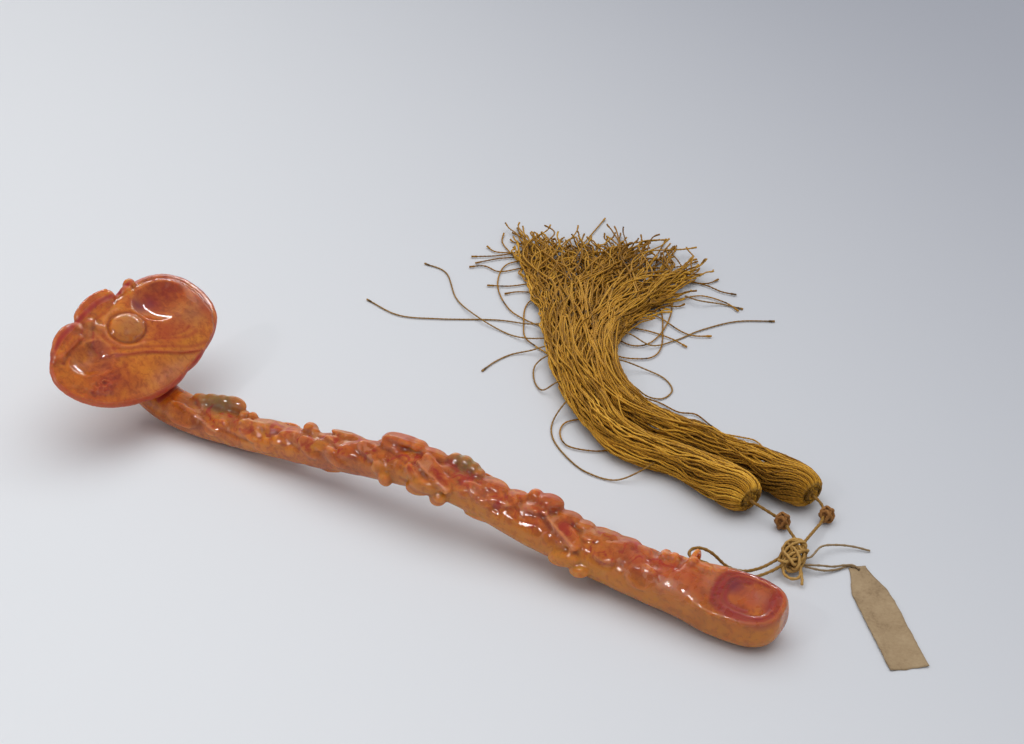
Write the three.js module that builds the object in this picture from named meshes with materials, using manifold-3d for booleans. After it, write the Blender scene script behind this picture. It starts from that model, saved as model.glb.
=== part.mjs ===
// A ruyi scepter carved from one agate as a branch of lingzhi fungus. It lies on its neck and its terminal,
// with a silk cord threaded through a lug by the terminal, a gathering knot, two tassels and a paper tag.
// Millimetres, +Z up, +X along the stem towards the terminal, and +Y to the side where the tassels lie.
// The origin is on the table, under the middle of the stone.
import * as THREE from 'three';
import { mergeVertices } from 'three/addons/utils/BufferGeometryUtils.js';
import Module from 'manifold-3d';

// Overall sizes of the stone
const SCEPTER_LENGTH = 326;
const HEAD_WIDTH = 90;
const HEAD_LENGTH = 48;
const HEAD_SLOPE = THREE.MathUtils.degToRad(37);
const HEAD_HEIGHT = 36;
const HEAD_DOME = 7;
const HEAD_BELLY = 5;
const HEAD_MIDDLE_FROM_END = 22;
const NECK_FROM_END = 53;
const NECK_HEIGHT = 7.4;
const CREST_HEIGHT = 21.6;
const CREST_SHARE = 0.44;
const TERMINAL_WIDTH = 25;
const TERMINAL_HEIGHT = 22.8;
const TERMINAL_LENGTH = 28;
const REST_DEPTH = 0.5;

// The pierced lug that the cord goes through
const LUG_BAR_DIAMETER = 2.2;
const LUG_HOLE_DIAMETER = 3.2;
const LUG_FROM_END = 40.5;
const LUG_ABOVE_MIDDLE = 6.6;
const LUG_SINK = 0.8;
const STEM_AT_LUG = { width: 22.4, height: 20.6, power: 2.2 };

// Silk cords, knots and strands
const CORD_DIAMETER = 1.5;
const STRAND_DIAMETER = 1.1;
const BUTTON_KNOT_DIAMETER = 7.2;
const STOPPER_KNOT_DIAMETER = 6;
const GATHERING_KNOT = { length: 18, width: 11, height: 9, turn: 8 };
const KNOT_BIGHT = { length: 9, width: 6, height: 5, turn: 28, offset: [4.6, -8], middle: 3 };
const BRANCH_SAG = 0.4;
const SKEIN_HEAD_WIDTH = 20;
const SKEIN_HEAD_HEIGHT = 16.6;
const SKEIN_WAIST_WIDTH = 15.2;
const SKEIN_WAIST_HEIGHT = 13.6;
const POCKET_DEPTH = 13;

// Paper tag and its string
const STRING_DIAMETER = 1;
const TAG_LENGTH = 58.5;
const TAG_WIDTH = 14.4;
const TAG_TOP_WIDTH = 6.8;
const TAG_SHOULDER = 18;
const TAG_THICKNESS = 0.4;
const TAG_HOLE_DIAMETER = 1.6;
const TAG_HOLE_INSET = 2.6;

// Room left between pieces that touch, round a knot in its pocket, and under what lies on the table
const SEAT_GAP = 0.3;
const POCKET_GAP = 0.4;
const TABLE_GAP = 0.15;

// Facets of round things, and steps along swept ones
const CORD_SIDES = 8;
const LOBE_SIDES = 10;
const LOBE_RINGS = 7;
const KNOT_SIDES = 14;
const KNOT_RINGS = 10;
const STEM_SIDES = 18;
const STEM_RINGS = 46;
const SKEIN_SIDES = 14;
const SKEIN_RINGS = 32;
const CORD_STEP = 3;
const TIGHT_STEP = 1;

const wasm = await Module();
wasm.setup();
const UP = new THREE.Vector3(0, 0, 1);
const vec = (x, y, z) => new THREE.Vector3(x, y, z);

// Turns a closed geometry into a solid that can be joined and cut.
function toSolid(geometry) {
  const bare = geometry.clone();
  bare.deleteAttribute('normal');
  bare.deleteAttribute('uv');
  const merged = mergeVertices(bare, 1e-4);
  return new wasm.Manifold(new wasm.Mesh({
    numProp: 3,
    vertProperties: new Float32Array(merged.attributes.position.array),
    triVerts: new Uint32Array(merged.index.array),
  }));
}

function fromSolid(solid) {
  const mesh = solid.getMesh();
  const geometry = new THREE.BufferGeometry();
  geometry.setAttribute('position', new THREE.BufferAttribute(new Float32Array(mesh.vertProperties), 3));
  geometry.setIndex(new THREE.BufferAttribute(new Uint32Array(mesh.triVerts), 1));
  geometry.computeVertexNormals();
  return geometry;
}

// A ball whose rings are spread along a curve: the poles become the two ends of the swept body, and each ring
// takes the width, the height and the squareness that the stations give there.
function sweep(stations, { rings, sides, roundStart, roundEnd }) {
  const path = smooth(stations.map((s) => vec(s.x, s.y ?? 0, s.z)));
  const sizes = smooth(stations.map((s) => vec(s.width, s.height, s.power ?? 2)));
  const [start, end] = [path.getPoint(0), path.getPoint(1)];
  const geometry = new THREE.SphereGeometry(1, sides, rings);
  const place = geometry.attributes.position;
  const point = new THREE.Vector3();
  for (let i = 0; i < place.count; i += 1) {
    point.fromBufferAttribute(place, i);
    const along = (1 - point.y) / 2;
    const moved = path.getPoint(along);
    const startShrink = endRounding(moved.distanceTo(start), roundStart);
    const shrink = startShrink * endRounding(moved.distanceTo(end), roundEnd);
    const size = sizes.getPoint(along);
    const tangent = path.getTangent(along);
    const side = UP.clone().cross(tangent).normalize();
    const lift = tangent.clone().cross(side);
    const ring = Math.hypot(point.x, point.z);
    const across = ring > 0 ? rounded(-point.z / ring, size.z) : 0;
    const above = ring > 0 ? rounded(point.x / ring, size.z) : 0;
    moved.addScaledVector(side, (across * shrink * size.x) / 2);
    moved.addScaledVector(lift, (above * shrink * size.y) / 2);
    place.setXYZ(i, moved.x, moved.y, moved.z);
  }
  return geometry;
}

// The same even spacing for places and sizes, so that what lies on the table keeps touching it.
function smooth(points) {
  return new THREE.CatmullRomCurve3(points, false, 'catmullrom');
}

function endRounding(distance, radius) {
  const inside = Math.max(0, 1 - distance / radius);
  return Math.sqrt(1 - inside * inside);
}

function rounded(value, power) {
  return Math.sign(value) * Math.abs(value) ** (2 / power);
}

// A round cord along hand-chosen points, with a step for every so many diameters.
function cord(points, diameter, step = CORD_STEP) {
  const curve = new THREE.CatmullRomCurve3(points.map((p) => vec(...p)));
  const outline = [];
  for (let i = 0; i < CORD_SIDES; i += 1) {
    const angle = (2 * Math.PI * i) / CORD_SIDES;
    outline.push(new THREE.Vector2(Math.cos(angle), Math.sin(angle)).multiplyScalar(diameter / 2));
  }
  const steps = Math.ceil(curve.getLength() / (step * diameter));
  return new THREE.ExtrudeGeometry(new THREE.Shape(outline), { steps, extrudePath: curve });
}

// A small rounded lobe of the carving, placed by its middle and its full sizes, then turned about Y and Z.
function lobe(middle, sizes, tilt = 0, turn = 0) {
  const geometry = new THREE.SphereGeometry(0.5, LOBE_SIDES, LOBE_RINGS);
  geometry.scale(...sizes);
  geometry.rotateY(THREE.MathUtils.degToRad(tilt));
  geometry.rotateZ(THREE.MathUtils.degToRad(turn));
  geometry.translate(...middle);
  return geometry;
}

const headEdge = -SCEPTER_LENGTH / 2;
const terminalEnd = SCEPTER_LENGTH / 2;
const headMiddle = vec(headEdge + HEAD_MIDDLE_FROM_END, 0, HEAD_HEIGHT);
const neckRest = headEdge + NECK_FROM_END;
const terminalMiddle = terminalEnd - TERMINAL_LENGTH / 2;
const terminalCentre = TERMINAL_HEIGHT / 2 - REST_DEPTH;
const lugX = terminalEnd - LUG_FROM_END;
const crest = neckRest + (terminalMiddle - neckRest) * CREST_SHARE;

// Places along the stem and heights of its middle, as shares of its rise to the crest and its fall to the lug.
const rise = (share) => neckRest + (crest - neckRest) * share;
const fall = (share) => crest + (lugX - crest) * share;
const up = (share) => NECK_HEIGHT + (CREST_HEIGHT - NECK_HEIGHT) * share;
const down = (share) => CREST_HEIGHT + (terminalCentre - CREST_HEIGHT) * share;

// The stem leaves the underside of the head, touches down at the neck, arches over its crest and comes down
// to the squarish terminal. Each station has its place, its width across and its height.
const terminal = { z: terminalCentre, width: TERMINAL_WIDTH, height: TERMINAL_HEIGHT, power: 3.4 };
const STEM = [
  { x: headMiddle.x - 2, z: HEAD_HEIGHT - 5, width: 9, height: 9 },
  { x: headMiddle.x + 6, z: HEAD_HEIGHT - 15, width: 13, height: 12 },
  { x: neckRest - 15, z: NECK_HEIGHT + 4, width: 15.6, height: 14.4 },
  { x: neckRest, z: NECK_HEIGHT, width: 16, height: 2 * (NECK_HEIGHT + REST_DEPTH) },
  { x: rise(0.24), z: up(0.14), width: 14.8, height: 14 },
  { x: rise(0.48), z: up(0.34), width: 14.8, height: 14 },
  { x: rise(0.73), z: up(0.7), width: 15.6, height: 14.8 },
  { x: crest, z: CREST_HEIGHT, width: 15.8, height: 15 },
  { x: fall(0.22), z: down(0.12), width: 15.8, height: 14.6 },
  { x: fall(0.42), z: down(0.52), width: 17.6, height: 16.4 },
  { x: fall(0.63), z: down(0.82), width: 18, height: 16.8 },
  { x: fall(0.83), z: down(0.98), width: 19.6, height: 18.4 },
  { ...STEM_AT_LUG, x: lugX, z: down(1) },
  { ...terminal, x: terminalEnd - TERMINAL_LENGTH + 4 },
  { ...terminal, x: terminalMiddle },
  { ...terminal, x: terminalEnd },
];

function stem() {
  return sweep(STEM, { rings: STEM_RINGS, sides: STEM_SIDES, roundStart: 4, roundEnd: 9 });
}

// Height of the stem's middle at a place along it, found by halving.
function stemMiddle(x) {
  const path = smooth(STEM.map((s) => vec(s.x, 0, s.z)));
  let [low, high] = [0, 1];
  for (let i = 0; i < 30; i += 1) {
    const half = (low + high) / 2;
    if (path.getPoint(half).x < x) {
      low = half;
    } else {
      high = half;
    }
  }
  return path.getPoint(low).z;
}

// The bean-shaped cap: half of its outline, from the tip by the stem to the notch, as shares of its own half
// width and length, mirrored to the other lobe.
function head() {
  const lower = [[0, -0.54], [0.36, -0.47], [0.71, -0.37], [0.95, -0.19]];
  const half = [...lower, [1, 0.05], [0.88, 0.28], [0.62, 0.42], [0.3, 0.45]];
  const mirrored = half.slice(1).reverse().map(([w, u]) => [-w, u]);
  const notch = [0, 0.4];
  const shares = [...half, notch, ...mirrored];
  const points = shares.map(([w, u]) => vec((w * HEAD_WIDTH) / 2, u * HEAD_LENGTH, 0));
  const outline = new THREE.CatmullRomCurve3(points, true);
  const geometry = new THREE.SphereGeometry(1, 40, 14);
  const place = geometry.attributes.position;
  const point = new THREE.Vector3();
  for (let i = 0; i < place.count; i += 1) {
    point.fromBufferAttribute(place, i);
    const turn = Math.atan2(point.z, point.x) / (2 * Math.PI);
    const rim = outline.getPoint((1 - turn) % 1);
    const reach = Math.hypot(point.x, point.z);
    const rise = point.y > 0 ? HEAD_DOME : HEAD_BELLY;
    place.setXYZ(i, rim.x * reach, rim.y * reach, rise * point.y);
  }
  return onHead(geometry);
}

// Lays something drawn on the head's own plane (across, up the slope, out of the face) in its place.
function onHead(geometry) {
  const across = vec(0, 1, 0);
  const upSlope = vec(-Math.cos(HEAD_SLOPE), 0, Math.sin(HEAD_SLOPE));
  const outward = across.clone().cross(upSlope);
  const frame = new THREE.Matrix4().makeBasis(across, upSlope, outward);
  frame.setPosition(headMiddle);
  return geometry.applyMatrix4(frame);
}

// Small fungi, leaves and nubs that stand out of the stem: the place along it, the shift to the side and above
// the stem's middle, the full sizes, and the turns about Y and Z.
const FUNGI = [
  { x: rise(0.105), side: 5.6, above: 7.7, sizes: [25, 8, 6], tilt: -9, turn: 3 },
  { x: rise(0.27), side: 3, above: 7.7, sizes: [8, 6, 5] },
  { x: rise(0.53), side: 4, above: 7.1, sizes: [10, 7, 6] },
  { x: rise(0.75), side: 3.5, above: 6.8, sizes: [14, 7, 5], tilt: -14 },
  { x: rise(0.93), side: 2.5, above: 9.5, sizes: [21, 12, 6], tilt: -10 },
  { x: rise(0.88), side: -2, above: -7.5, sizes: [9, 6, 6] },
  { x: fall(0.195), side: 4, above: 8, sizes: [17, 9, 7], tilt: 10 },
  { x: fall(0.5), side: 4, above: 8.9, sizes: [18, 13, 8], tilt: 16 },
  { x: fall(0.675), side: 4, above: 7.3, sizes: [12, 9, 6] },
  { x: fall(0.8), side: 5, above: 7.3, sizes: [12, 9, 6] },
  { x: fall(0.93), side: 6, above: 8.4, sizes: [9, 6, 5] },
];

function carvedLobes() {
  const onStem = FUNGI.map(({ x, side, above, sizes, tilt, turn }) => (
    lobe([x, side, stemMiddle(x) + above], sizes, tilt, turn)
  ));
  const rimUp = HEAD_LENGTH * 0.42;
  const boss = onHead(lobe([2, 7, HEAD_DOME - 0.6], [12, 12, 9]));
  const caps = [
    onHead(lobe([-1, rimUp + 1.5, 0.6], [26, 11, 9])),
    onHead(lobe([-24, rimUp - 3.4, 0.6], [18, 11, 8])),
    onHead(lobe([22, rimUp + 1.6, 1], [8, 7, 7])),
  ];
  return [...onStem, boss, ...caps];
}

// A ring standing across the stem on its far shoulder, so that its outer side is an upright bar.
const lugRing = (LUG_HOLE_DIAMETER + LUG_BAR_DIAMETER) / 2;
const lugSide = STEM_AT_LUG.width / 2 - LUG_SINK;
const lugHeight = stemMiddle(lugX) + LUG_ABOVE_MIDDLE;
const lugBar = vec(lugX, lugSide + lugRing, lugHeight);

function lug() {
  const geometry = new THREE.TorusGeometry(lugRing, LUG_BAR_DIAMETER / 2, 8, 16);
  geometry.rotateY(Math.PI / 2);
  return geometry.translate(lugX, lugSide, lugHeight);
}

// Everything of the stone joined, and ground flat where it stands.
function stone() {
  let solid = toSolid(stem()).add(toSolid(head()));
  for (const part of carvedLobes()) {
    solid = solid.add(toSolid(part));
  }
  solid = solid.add(toSolid(lug()));
  const deep = 20;
  const table = new THREE.BoxGeometry(2 * SCEPTER_LENGTH, 2 * HEAD_WIDTH, deep);
  table.translate(0, 0, -deep / 2);
  const radius = LUG_HOLE_DIAMETER / 2;
  const hole = new THREE.CylinderGeometry(radius, radius, 3 * LUG_BAR_DIAMETER, 16);
  hole.rotateZ(Math.PI / 2);
  hole.translate(lugX, lugSide, lugHeight);
  return fromSolid(solid.subtract(toSolid(table)).subtract(toSolid(hole)));
}

// Places on the soft hanging, measured from the upright bar of the lug, at table height.
const KNOT_MIDDLE = [25.5, 33, 4.7];
const buttonHeight = BUTTON_KNOT_DIAMETER / 2 + TABLE_GAP;
const NEAR_BUTTON = [12.7, 52.7, buttonHeight];
const FAR_BUTTON = [26.4, 65.6, buttonHeight];
const loopRadius = (LUG_BAR_DIAMETER + CORD_DIAMETER) / 2 + 2 * SEAT_GAP;

// The doubled cord: in along one strand, round the bar of the lug and back along the other.
function loopPoints() {
  const inner = [[23.4, 24.6, 4.6], [19.8, 18.4, 5.6], [15.6, 11.2, 7.6], [10.8, 5, 11], [5.4, 1, 14.8]];
  const outer = [[4, 4.4, 14.8], [8.4, 7.8, 11.2], [12.8, 12.8, 8], [16.8, 19.2, 6], [20, 25.6, 5]];
  const turn = [];
  for (const degrees of [-90, -135, -180, -225, -270]) {
    const angle = THREE.MathUtils.degToRad(degrees);
    turn.push([loopRadius * Math.cos(angle), loopRadius * Math.sin(angle), lugHeight]);
  }
  return [...inner, ...turn, ...outer];
}

// Points from one place to another that sag a little and stop short of the second.
function cordBetween(from, to, endGap, sag) {
  const start = vec(...from);
  const way = vec(...to).sub(start);
  way.setLength(way.length() - endGap);
  const points = [];
  for (const share of [0, 0.25, 0.5, 0.75, 1]) {
    const at = start.clone().addScaledVector(way, share);
    points.push([at.x, at.y, at.z - sag * Math.sin(Math.PI * share)]);
  }
  return points;
}

function knotBall(middle, diameter) {
  const geometry = new THREE.SphereGeometry(diameter / 2, KNOT_SIDES, KNOT_RINGS);
  return geometry.translate(...middle);
}

// The gathering knot: a flattened body with one bight of cord standing out of it.
function gatheringKnot() {
  const { width, length, height, turn } = GATHERING_KNOT;
  const body = lobe(KNOT_MIDDLE, [width, length, height], 0, turn);
  const [x, y] = [KNOT_MIDDLE[0] + KNOT_BIGHT.offset[0], KNOT_MIDDLE[1] + KNOT_BIGHT.offset[1]];
  const sizes = [KNOT_BIGHT.width, KNOT_BIGHT.length, KNOT_BIGHT.height];
  const bight = lobe([x, y, KNOT_BIGHT.middle], sizes, 0, KNOT_BIGHT.turn);
  return fromSolid(toSolid(body).add(toSolid(bight)));
}

// Centre line of each tassel on the table, from its head to its fringe, with its width and height.
function skeinStations(points) {
  return points.map(([x, y, width, height]) => ({ x, y, z: height / 2 + TABLE_GAP, width, height }));
}

const headSize = [SKEIN_HEAD_WIDTH, SKEIN_HEAD_HEIGHT];
const waistSize = [SKEIN_WAIST_WIDTH, SKEIN_WAIST_HEIGHT];
const NEAR_SKEIN = skeinStations([
  [-1.5, 53, ...headSize], [-10.5, 57.2, ...headSize], [-22.5, 61.2, 18, 16.4], [-38.5, 64.6, ...waistSize],
  [-56.5, 65.2, ...waistSize], [-71.5, 69.6, ...waistSize], [-86.5, 80.4, ...waistSize],
  [-103, 94.4, ...waistSize], [-116.5, 109.4, 15.6, 13], [-129.5, 130, 18, 11], [-144.5, 155, 25, 9],
  [-160.5, 179, 39, 7], [-175, 206, 53, 5.4], [-186, 232, 62, 4],
]);
const FAR_SKEIN = skeinStations([
  [18.5, 69, ...headSize], [8, 73.4, ...headSize], [-6.5, 77.4, 17, 16.2], [-22.5, 81.4, ...waistSize],
  [-36.5, 83.6, ...waistSize], [-52.5, 84.2, ...waistSize], [-69.5, 88.2, ...waistSize],
  [-83.5, 97.6, ...waistSize], [-96.5, 110.4, ...waistSize], [-107, 127.4, 15.6, 13], [-113.5, 145, 19, 11],
  [-116.5, 165, 26, 9], [-117.5, 187, 42, 7], [-115.5, 214, 58, 5.4], [-112, 241, 70, 4],
]);

function skein(stations) {
  const body = sweep(stations, { rings: SKEIN_RINGS, sides: SKEIN_SIDES, roundStart: 6, roundEnd: 5 });
  const { mouth, inward } = skeinMouth(stations);
  const width = STOPPER_KNOT_DIAMETER + 2 * POCKET_GAP;
  const pocket = new THREE.CylinderGeometry(width / 2, width / 2, 2 * POCKET_DEPTH, 12);
  pocket.applyQuaternion(new THREE.Quaternion().setFromUnitVectors(vec(0, 1, 0), inward));
  pocket.translate(mouth.x, mouth.y, mouth.z);
  return fromSolid(toSolid(body).subtract(toSolid(pocket)));
}

// The end of a tassel's head, and the way into it.
function skeinMouth(stations) {
  const mouth = vec(stations[0].x, stations[0].y, stations[0].z);
  const next = vec(stations[1].x, stations[1].y, stations[1].z);
  return { mouth, inward: next.sub(mouth).normalize() };
}

// The knot at the bottom of the pocket, clear of the pocket's end by the seat gap.
function stopperMiddle(stations) {
  const { mouth, inward } = skeinMouth(stations);
  const depth = POCKET_DEPTH - STOPPER_KNOT_DIAMETER / 2 - SEAT_GAP;
  return mouth.addScaledVector(inward, depth).toArray();
}

// The cord from a button knot into the head, down to the stopper knot.
function neckCordPoints(button, stations) {
  const { mouth, inward } = skeinMouth(stations);
  const buttonMiddle = vec(...button);
  const stopper = vec(...stopperMiddle(stations));
  const entry = mouth.clone().addScaledVector(inward, -2);
  const leave = entry.clone().sub(buttonMiddle).normalize();
  const start = buttonMiddle.clone().addScaledVector(leave, BUTTON_KNOT_DIAMETER / 2 + SEAT_GAP);
  const end = stopper.clone().addScaledVector(inward, -STOPPER_KNOT_DIAMETER / 2 - SEAT_GAP);
  return [start, start.clone().lerp(entry, 0.5), entry, mouth, end].map((p) => p.toArray());
}

// Where a strand leaves the side of its tassel: beside the station that is counted from the head, on the left
// or the right, and clear of the surface by half a strand and the seat gap.
function skeinSide(stations, station, side) {
  const share = station / (stations.length - 1);
  const path = smooth(stations.map((s) => vec(s.x, s.y, s.z)));
  const widths = smooth(stations.map((s) => vec(s.width, 0, 0)));
  const across = UP.clone().cross(path.getTangent(share)).normalize();
  const reach = widths.getPoint(share).x / 2 + STRAND_DIAMETER / 2 + SEAT_GAP;
  return path.getPoint(share).addScaledVector(across, side * reach).toArray();
}

// Loose strands, by the station where each leaves its tassel and where it comes back, if it does. In between
// they come down on to the table, and a point with no height lies on it. One hops over another on the left.
const LEFT = 1;
const RIGHT = -1;
const LOOSE_STRANDS = [
  { name: 'long_left', tassel: NEAR_SKEIN, side: LEFT, leaves: 9.5,
    points: [[-155, 138, 1.8], [-171, 135], [-195, 122], [-214, 115], [-236, 120]] },
  { name: 'upper_left', tassel: NEAR_SKEIN, side: LEFT, leaves: 9,
    points: [[-148, 125.4, 2.4], [-160, 127], [-178, 131, 2.1], [-198, 143], [-217, 163], [-232, 166]] },
  { name: 'short_left', tassel: NEAR_SKEIN, side: LEFT, leaves: 8.7,
    points: [[-141, 117, 2], [-148, 111], [-151, 102], [-152, 92]] },
  { name: 'bow_left', tassel: NEAR_SKEIN, side: LEFT, leaves: 8.35, returns: 7.3,
    points: [[-132.4, 107, 1.8], [-127, 97], [-119, 90.6, 1.8]] },
  { name: 'bow_near', tassel: NEAR_SKEIN, side: LEFT, leaves: 6.6, returns: 3.5,
    points: [[-103, 72, 1.4], [-97, 61], [-85, 51.6], [-72, 46], [-58, 47, 1.4]] },
  { name: 'bow_right', tassel: FAR_SKEIN, side: RIGHT, leaves: 8.6, returns: 7.4,
    points: [[-87, 130, 1.8], [-77, 129], [-69.5, 122], [-70, 113.5], [-76, 110, 1.8]] },
  { name: 'long_right', tassel: FAR_SKEIN, side: RIGHT, leaves: 10.1,
    points: [[-94, 150.6, 1.8], [-87, 163], [-81, 177], [-70, 193], [-54, 203]] },
  { name: 'fringe_right', tassel: FAR_SKEIN, side: RIGHT, leaves: 12.5,
    points: [[-83, 204.6, 1], [-72, 206]] },
];

function looseStrand({ tassel, side, leaves, returns, points }) {
  const onTable = STRAND_DIAMETER / 2 + TABLE_GAP;
  const lying = points.map(([x, y, over]) => [x, y, over ?? onTable]);
  const ends = returns === undefined ? [] : [skeinSide(tassel, returns, side)];
  return cord([skeinSide(tassel, leaves, side), ...lying, ...ends], STRAND_DIAMETER);
}

// The paper string: one strand from the knot to the top of the tag, and one that ends free.
const TAG_TOP = [47.5, 44.4];
const TAG_TURN = -50.9;
const TAG_STRING = [[31.6, 31.2, 4], [36.4, 34.6, 3.2], [40, 38, 1.8], [43, 42.2, 1]];
const STRING_END = [[31.4, 36.2, 4.2], [32.4, 44.6, 4], [36.4, 49.8, 3], [42, 53.8, 1.8], [48.6, 56, 0.8]];

// The tag in its own plane, with its top edge on X = 0 and tapered shoulders.
function paperTag() {
  const outline = new THREE.Shape([
    new THREE.Vector2(0, -TAG_TOP_WIDTH / 2),
    new THREE.Vector2(TAG_SHOULDER, -TAG_WIDTH / 2),
    new THREE.Vector2(TAG_LENGTH, -TAG_WIDTH / 2),
    new THREE.Vector2(TAG_LENGTH, TAG_WIDTH / 2),
    new THREE.Vector2(TAG_SHOULDER, TAG_WIDTH / 2),
    new THREE.Vector2(0, TAG_TOP_WIDTH / 2),
  ]);
  const hole = new THREE.Path();
  hole.absarc(TAG_HOLE_INSET, 0, TAG_HOLE_DIAMETER / 2, 0, 2 * Math.PI, true);
  outline.holes.push(hole);
  return new THREE.ExtrudeGeometry(outline, { depth: TAG_THICKNESS, bevelEnabled: false, curveSegments: 6 });
}

// The string runs on to the tag's edge and stops at it, whatever the tag's turn.
function tagStringPoints() {
  const turn = THREE.MathUtils.degToRad(TAG_TURN);
  const back = STRING_DIAMETER / 2 + SEAT_GAP;
  const [x, y] = [TAG_TOP[0] - back * Math.cos(turn), TAG_TOP[1] - back * Math.sin(turn)];
  return [...TAG_STRING, [x, y, STRING_DIAMETER / 2 + TABLE_GAP]];
}

const agate = new THREE.MeshStandardMaterial({ color: 0xc4571b, roughness: 0.18, metalness: 0 });
const silk = new THREE.MeshStandardMaterial({ color: 0x9a6b22, roughness: 0.7, metalness: 0 });
const knotSilk = new THREE.MeshStandardMaterial({ color: 0x7a5224, roughness: 0.75, metalness: 0 });
const paper = new THREE.MeshStandardMaterial({ color: 0xb9a582, roughness: 0.85, metalness: 0 });
const twine = new THREE.MeshStandardMaterial({ color: 0x8a7450, roughness: 0.85, metalness: 0 });

function named(name, geometry, material) {
  const mesh = new THREE.Mesh(geometry, material.clone());
  mesh.name = name;
  return mesh;
}

const scepter = new THREE.Group();
scepter.add(named('scepter_stone', stone(), agate));

const hanging = new THREE.Group();
hanging.position.set(lugBar.x, lugBar.y, 0);
scepter.add(hanging);
hanging.add(named('hanging_cord_loop', cord(loopPoints(), CORD_DIAMETER, TIGHT_STEP), silk));
hanging.add(named('gathering_knot', gatheringKnot(), knotSilk));

const [knotX, knotY, knotZ] = KNOT_MIDDLE;
const tassels = [
  { side: 'near', stations: NEAR_SKEIN, button: NEAR_BUTTON, leave: [knotX - 2.6, knotY + 9, knotZ] },
  { side: 'far', stations: FAR_SKEIN, button: FAR_BUTTON, leave: [knotX + 0.4, knotY + 9.4, knotZ] },
];
for (const { side, stations, button, leave } of tassels) {
  const reach = BUTTON_KNOT_DIAMETER / 2 + SEAT_GAP;
  const branch = cordBetween(leave, button, reach, BRANCH_SAG);
  const stopper = knotBall(stopperMiddle(stations), STOPPER_KNOT_DIAMETER);
  hanging.add(named(`${side}_branch_cord`, cord(branch, CORD_DIAMETER), silk));
  hanging.add(named(`${side}_button_knot`, knotBall(button, BUTTON_KNOT_DIAMETER), knotSilk));
  hanging.add(named(`${side}_neck_cord`, cord(neckCordPoints(button, stations), CORD_DIAMETER), silk));
  hanging.add(named(`${side}_stopper_knot`, stopper, knotSilk));
  hanging.add(named(`${side}_tassel_skein`, skein(stations), silk));
}
for (const strand of LOOSE_STRANDS) {
  hanging.add(named(`loose_strand_${strand.name}`, looseStrand(strand), silk));
}

hanging.add(named('tag_string', cord(tagStringPoints(), STRING_DIAMETER), twine));
hanging.add(named('tag_string_end', cord(STRING_END, STRING_DIAMETER), twine));
const tag = named('paper_tag', paperTag(), paper);
tag.position.set(TAG_TOP[0], TAG_TOP[1], 0);
tag.rotation.z = THREE.MathUtils.degToRad(TAG_TURN);
hanging.add(tag);

export default scepter;
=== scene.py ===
# %% [markdown]
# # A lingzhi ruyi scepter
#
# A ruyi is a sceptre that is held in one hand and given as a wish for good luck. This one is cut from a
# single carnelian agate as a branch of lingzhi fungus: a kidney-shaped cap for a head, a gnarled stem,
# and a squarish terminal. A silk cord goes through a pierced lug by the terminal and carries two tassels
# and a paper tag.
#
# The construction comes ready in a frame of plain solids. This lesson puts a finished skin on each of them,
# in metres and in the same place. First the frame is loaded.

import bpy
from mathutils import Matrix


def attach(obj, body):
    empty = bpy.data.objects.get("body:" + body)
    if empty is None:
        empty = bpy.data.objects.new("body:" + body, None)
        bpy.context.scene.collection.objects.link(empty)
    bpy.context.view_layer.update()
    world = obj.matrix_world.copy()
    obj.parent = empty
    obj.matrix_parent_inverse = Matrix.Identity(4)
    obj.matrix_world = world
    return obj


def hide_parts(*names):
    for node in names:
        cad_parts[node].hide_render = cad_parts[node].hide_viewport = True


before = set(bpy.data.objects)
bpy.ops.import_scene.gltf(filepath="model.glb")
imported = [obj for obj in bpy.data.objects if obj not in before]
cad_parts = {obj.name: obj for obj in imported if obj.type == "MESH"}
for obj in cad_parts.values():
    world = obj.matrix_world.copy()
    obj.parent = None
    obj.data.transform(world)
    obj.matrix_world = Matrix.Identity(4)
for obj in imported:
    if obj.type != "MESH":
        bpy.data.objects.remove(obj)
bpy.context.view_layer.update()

# %% [markdown]
# Blender works in metres, and a carver thinks in millimetres. The places below are written in
# millimetres, and `MM` makes them metres at the end. The Standard view shows a colour about as it is
# written.

# %% Other modules and the working unit
import math
import random

import bmesh
import bpy
import numpy as np
from mathutils import Matrix, Vector, noise

MM = 0.001
scene = bpy.context.scene
scene.view_settings.view_transform = "Standard"


def link(thing):
    scene.collection.objects.link(thing)
    return thing


print("lists are in units of", MM, "m")

# %% [markdown]
# ## The camera
#
# The view is worked out from the photograph's perspective: a 58 mm lens on a 36 mm sensor, three quarters
# of a metre away and 32 degrees above the table. It is made first, because the cords are laid for this
# view.

# %% Camera
CAMERA_PLACE = Vector((0.3113, -0.4420, 0.4027))
CAMERA_AIM = Vector((-0.0177, 0.1123, 0.0))
CAMERA_LENS = 58
CAMERA_SENSOR = 36

camera = link(bpy.data.objects.new("camera", bpy.data.cameras.new("camera")))
camera.data.lens = CAMERA_LENS
camera.data.sensor_width = CAMERA_SENSOR
camera.data.sensor_fit = "HORIZONTAL"
camera.location = CAMERA_PLACE
camera.rotation_euler = (CAMERA_AIM - CAMERA_PLACE).to_track_quat("-Z", "Y").to_euler()
scene.camera = camera
print("camera", round((CAMERA_AIM - CAMERA_PLACE).length, 3), "m from the table's middle")

# %% [markdown]
# ## Shader sums
#
# A finish is a small sum of patterns. Writing it as Python keeps it readable: `Value` wraps one output of
# a node, plus, minus and times add Math nodes, and `node` adds any other node from its type, its settings
# and its inputs.

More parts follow.
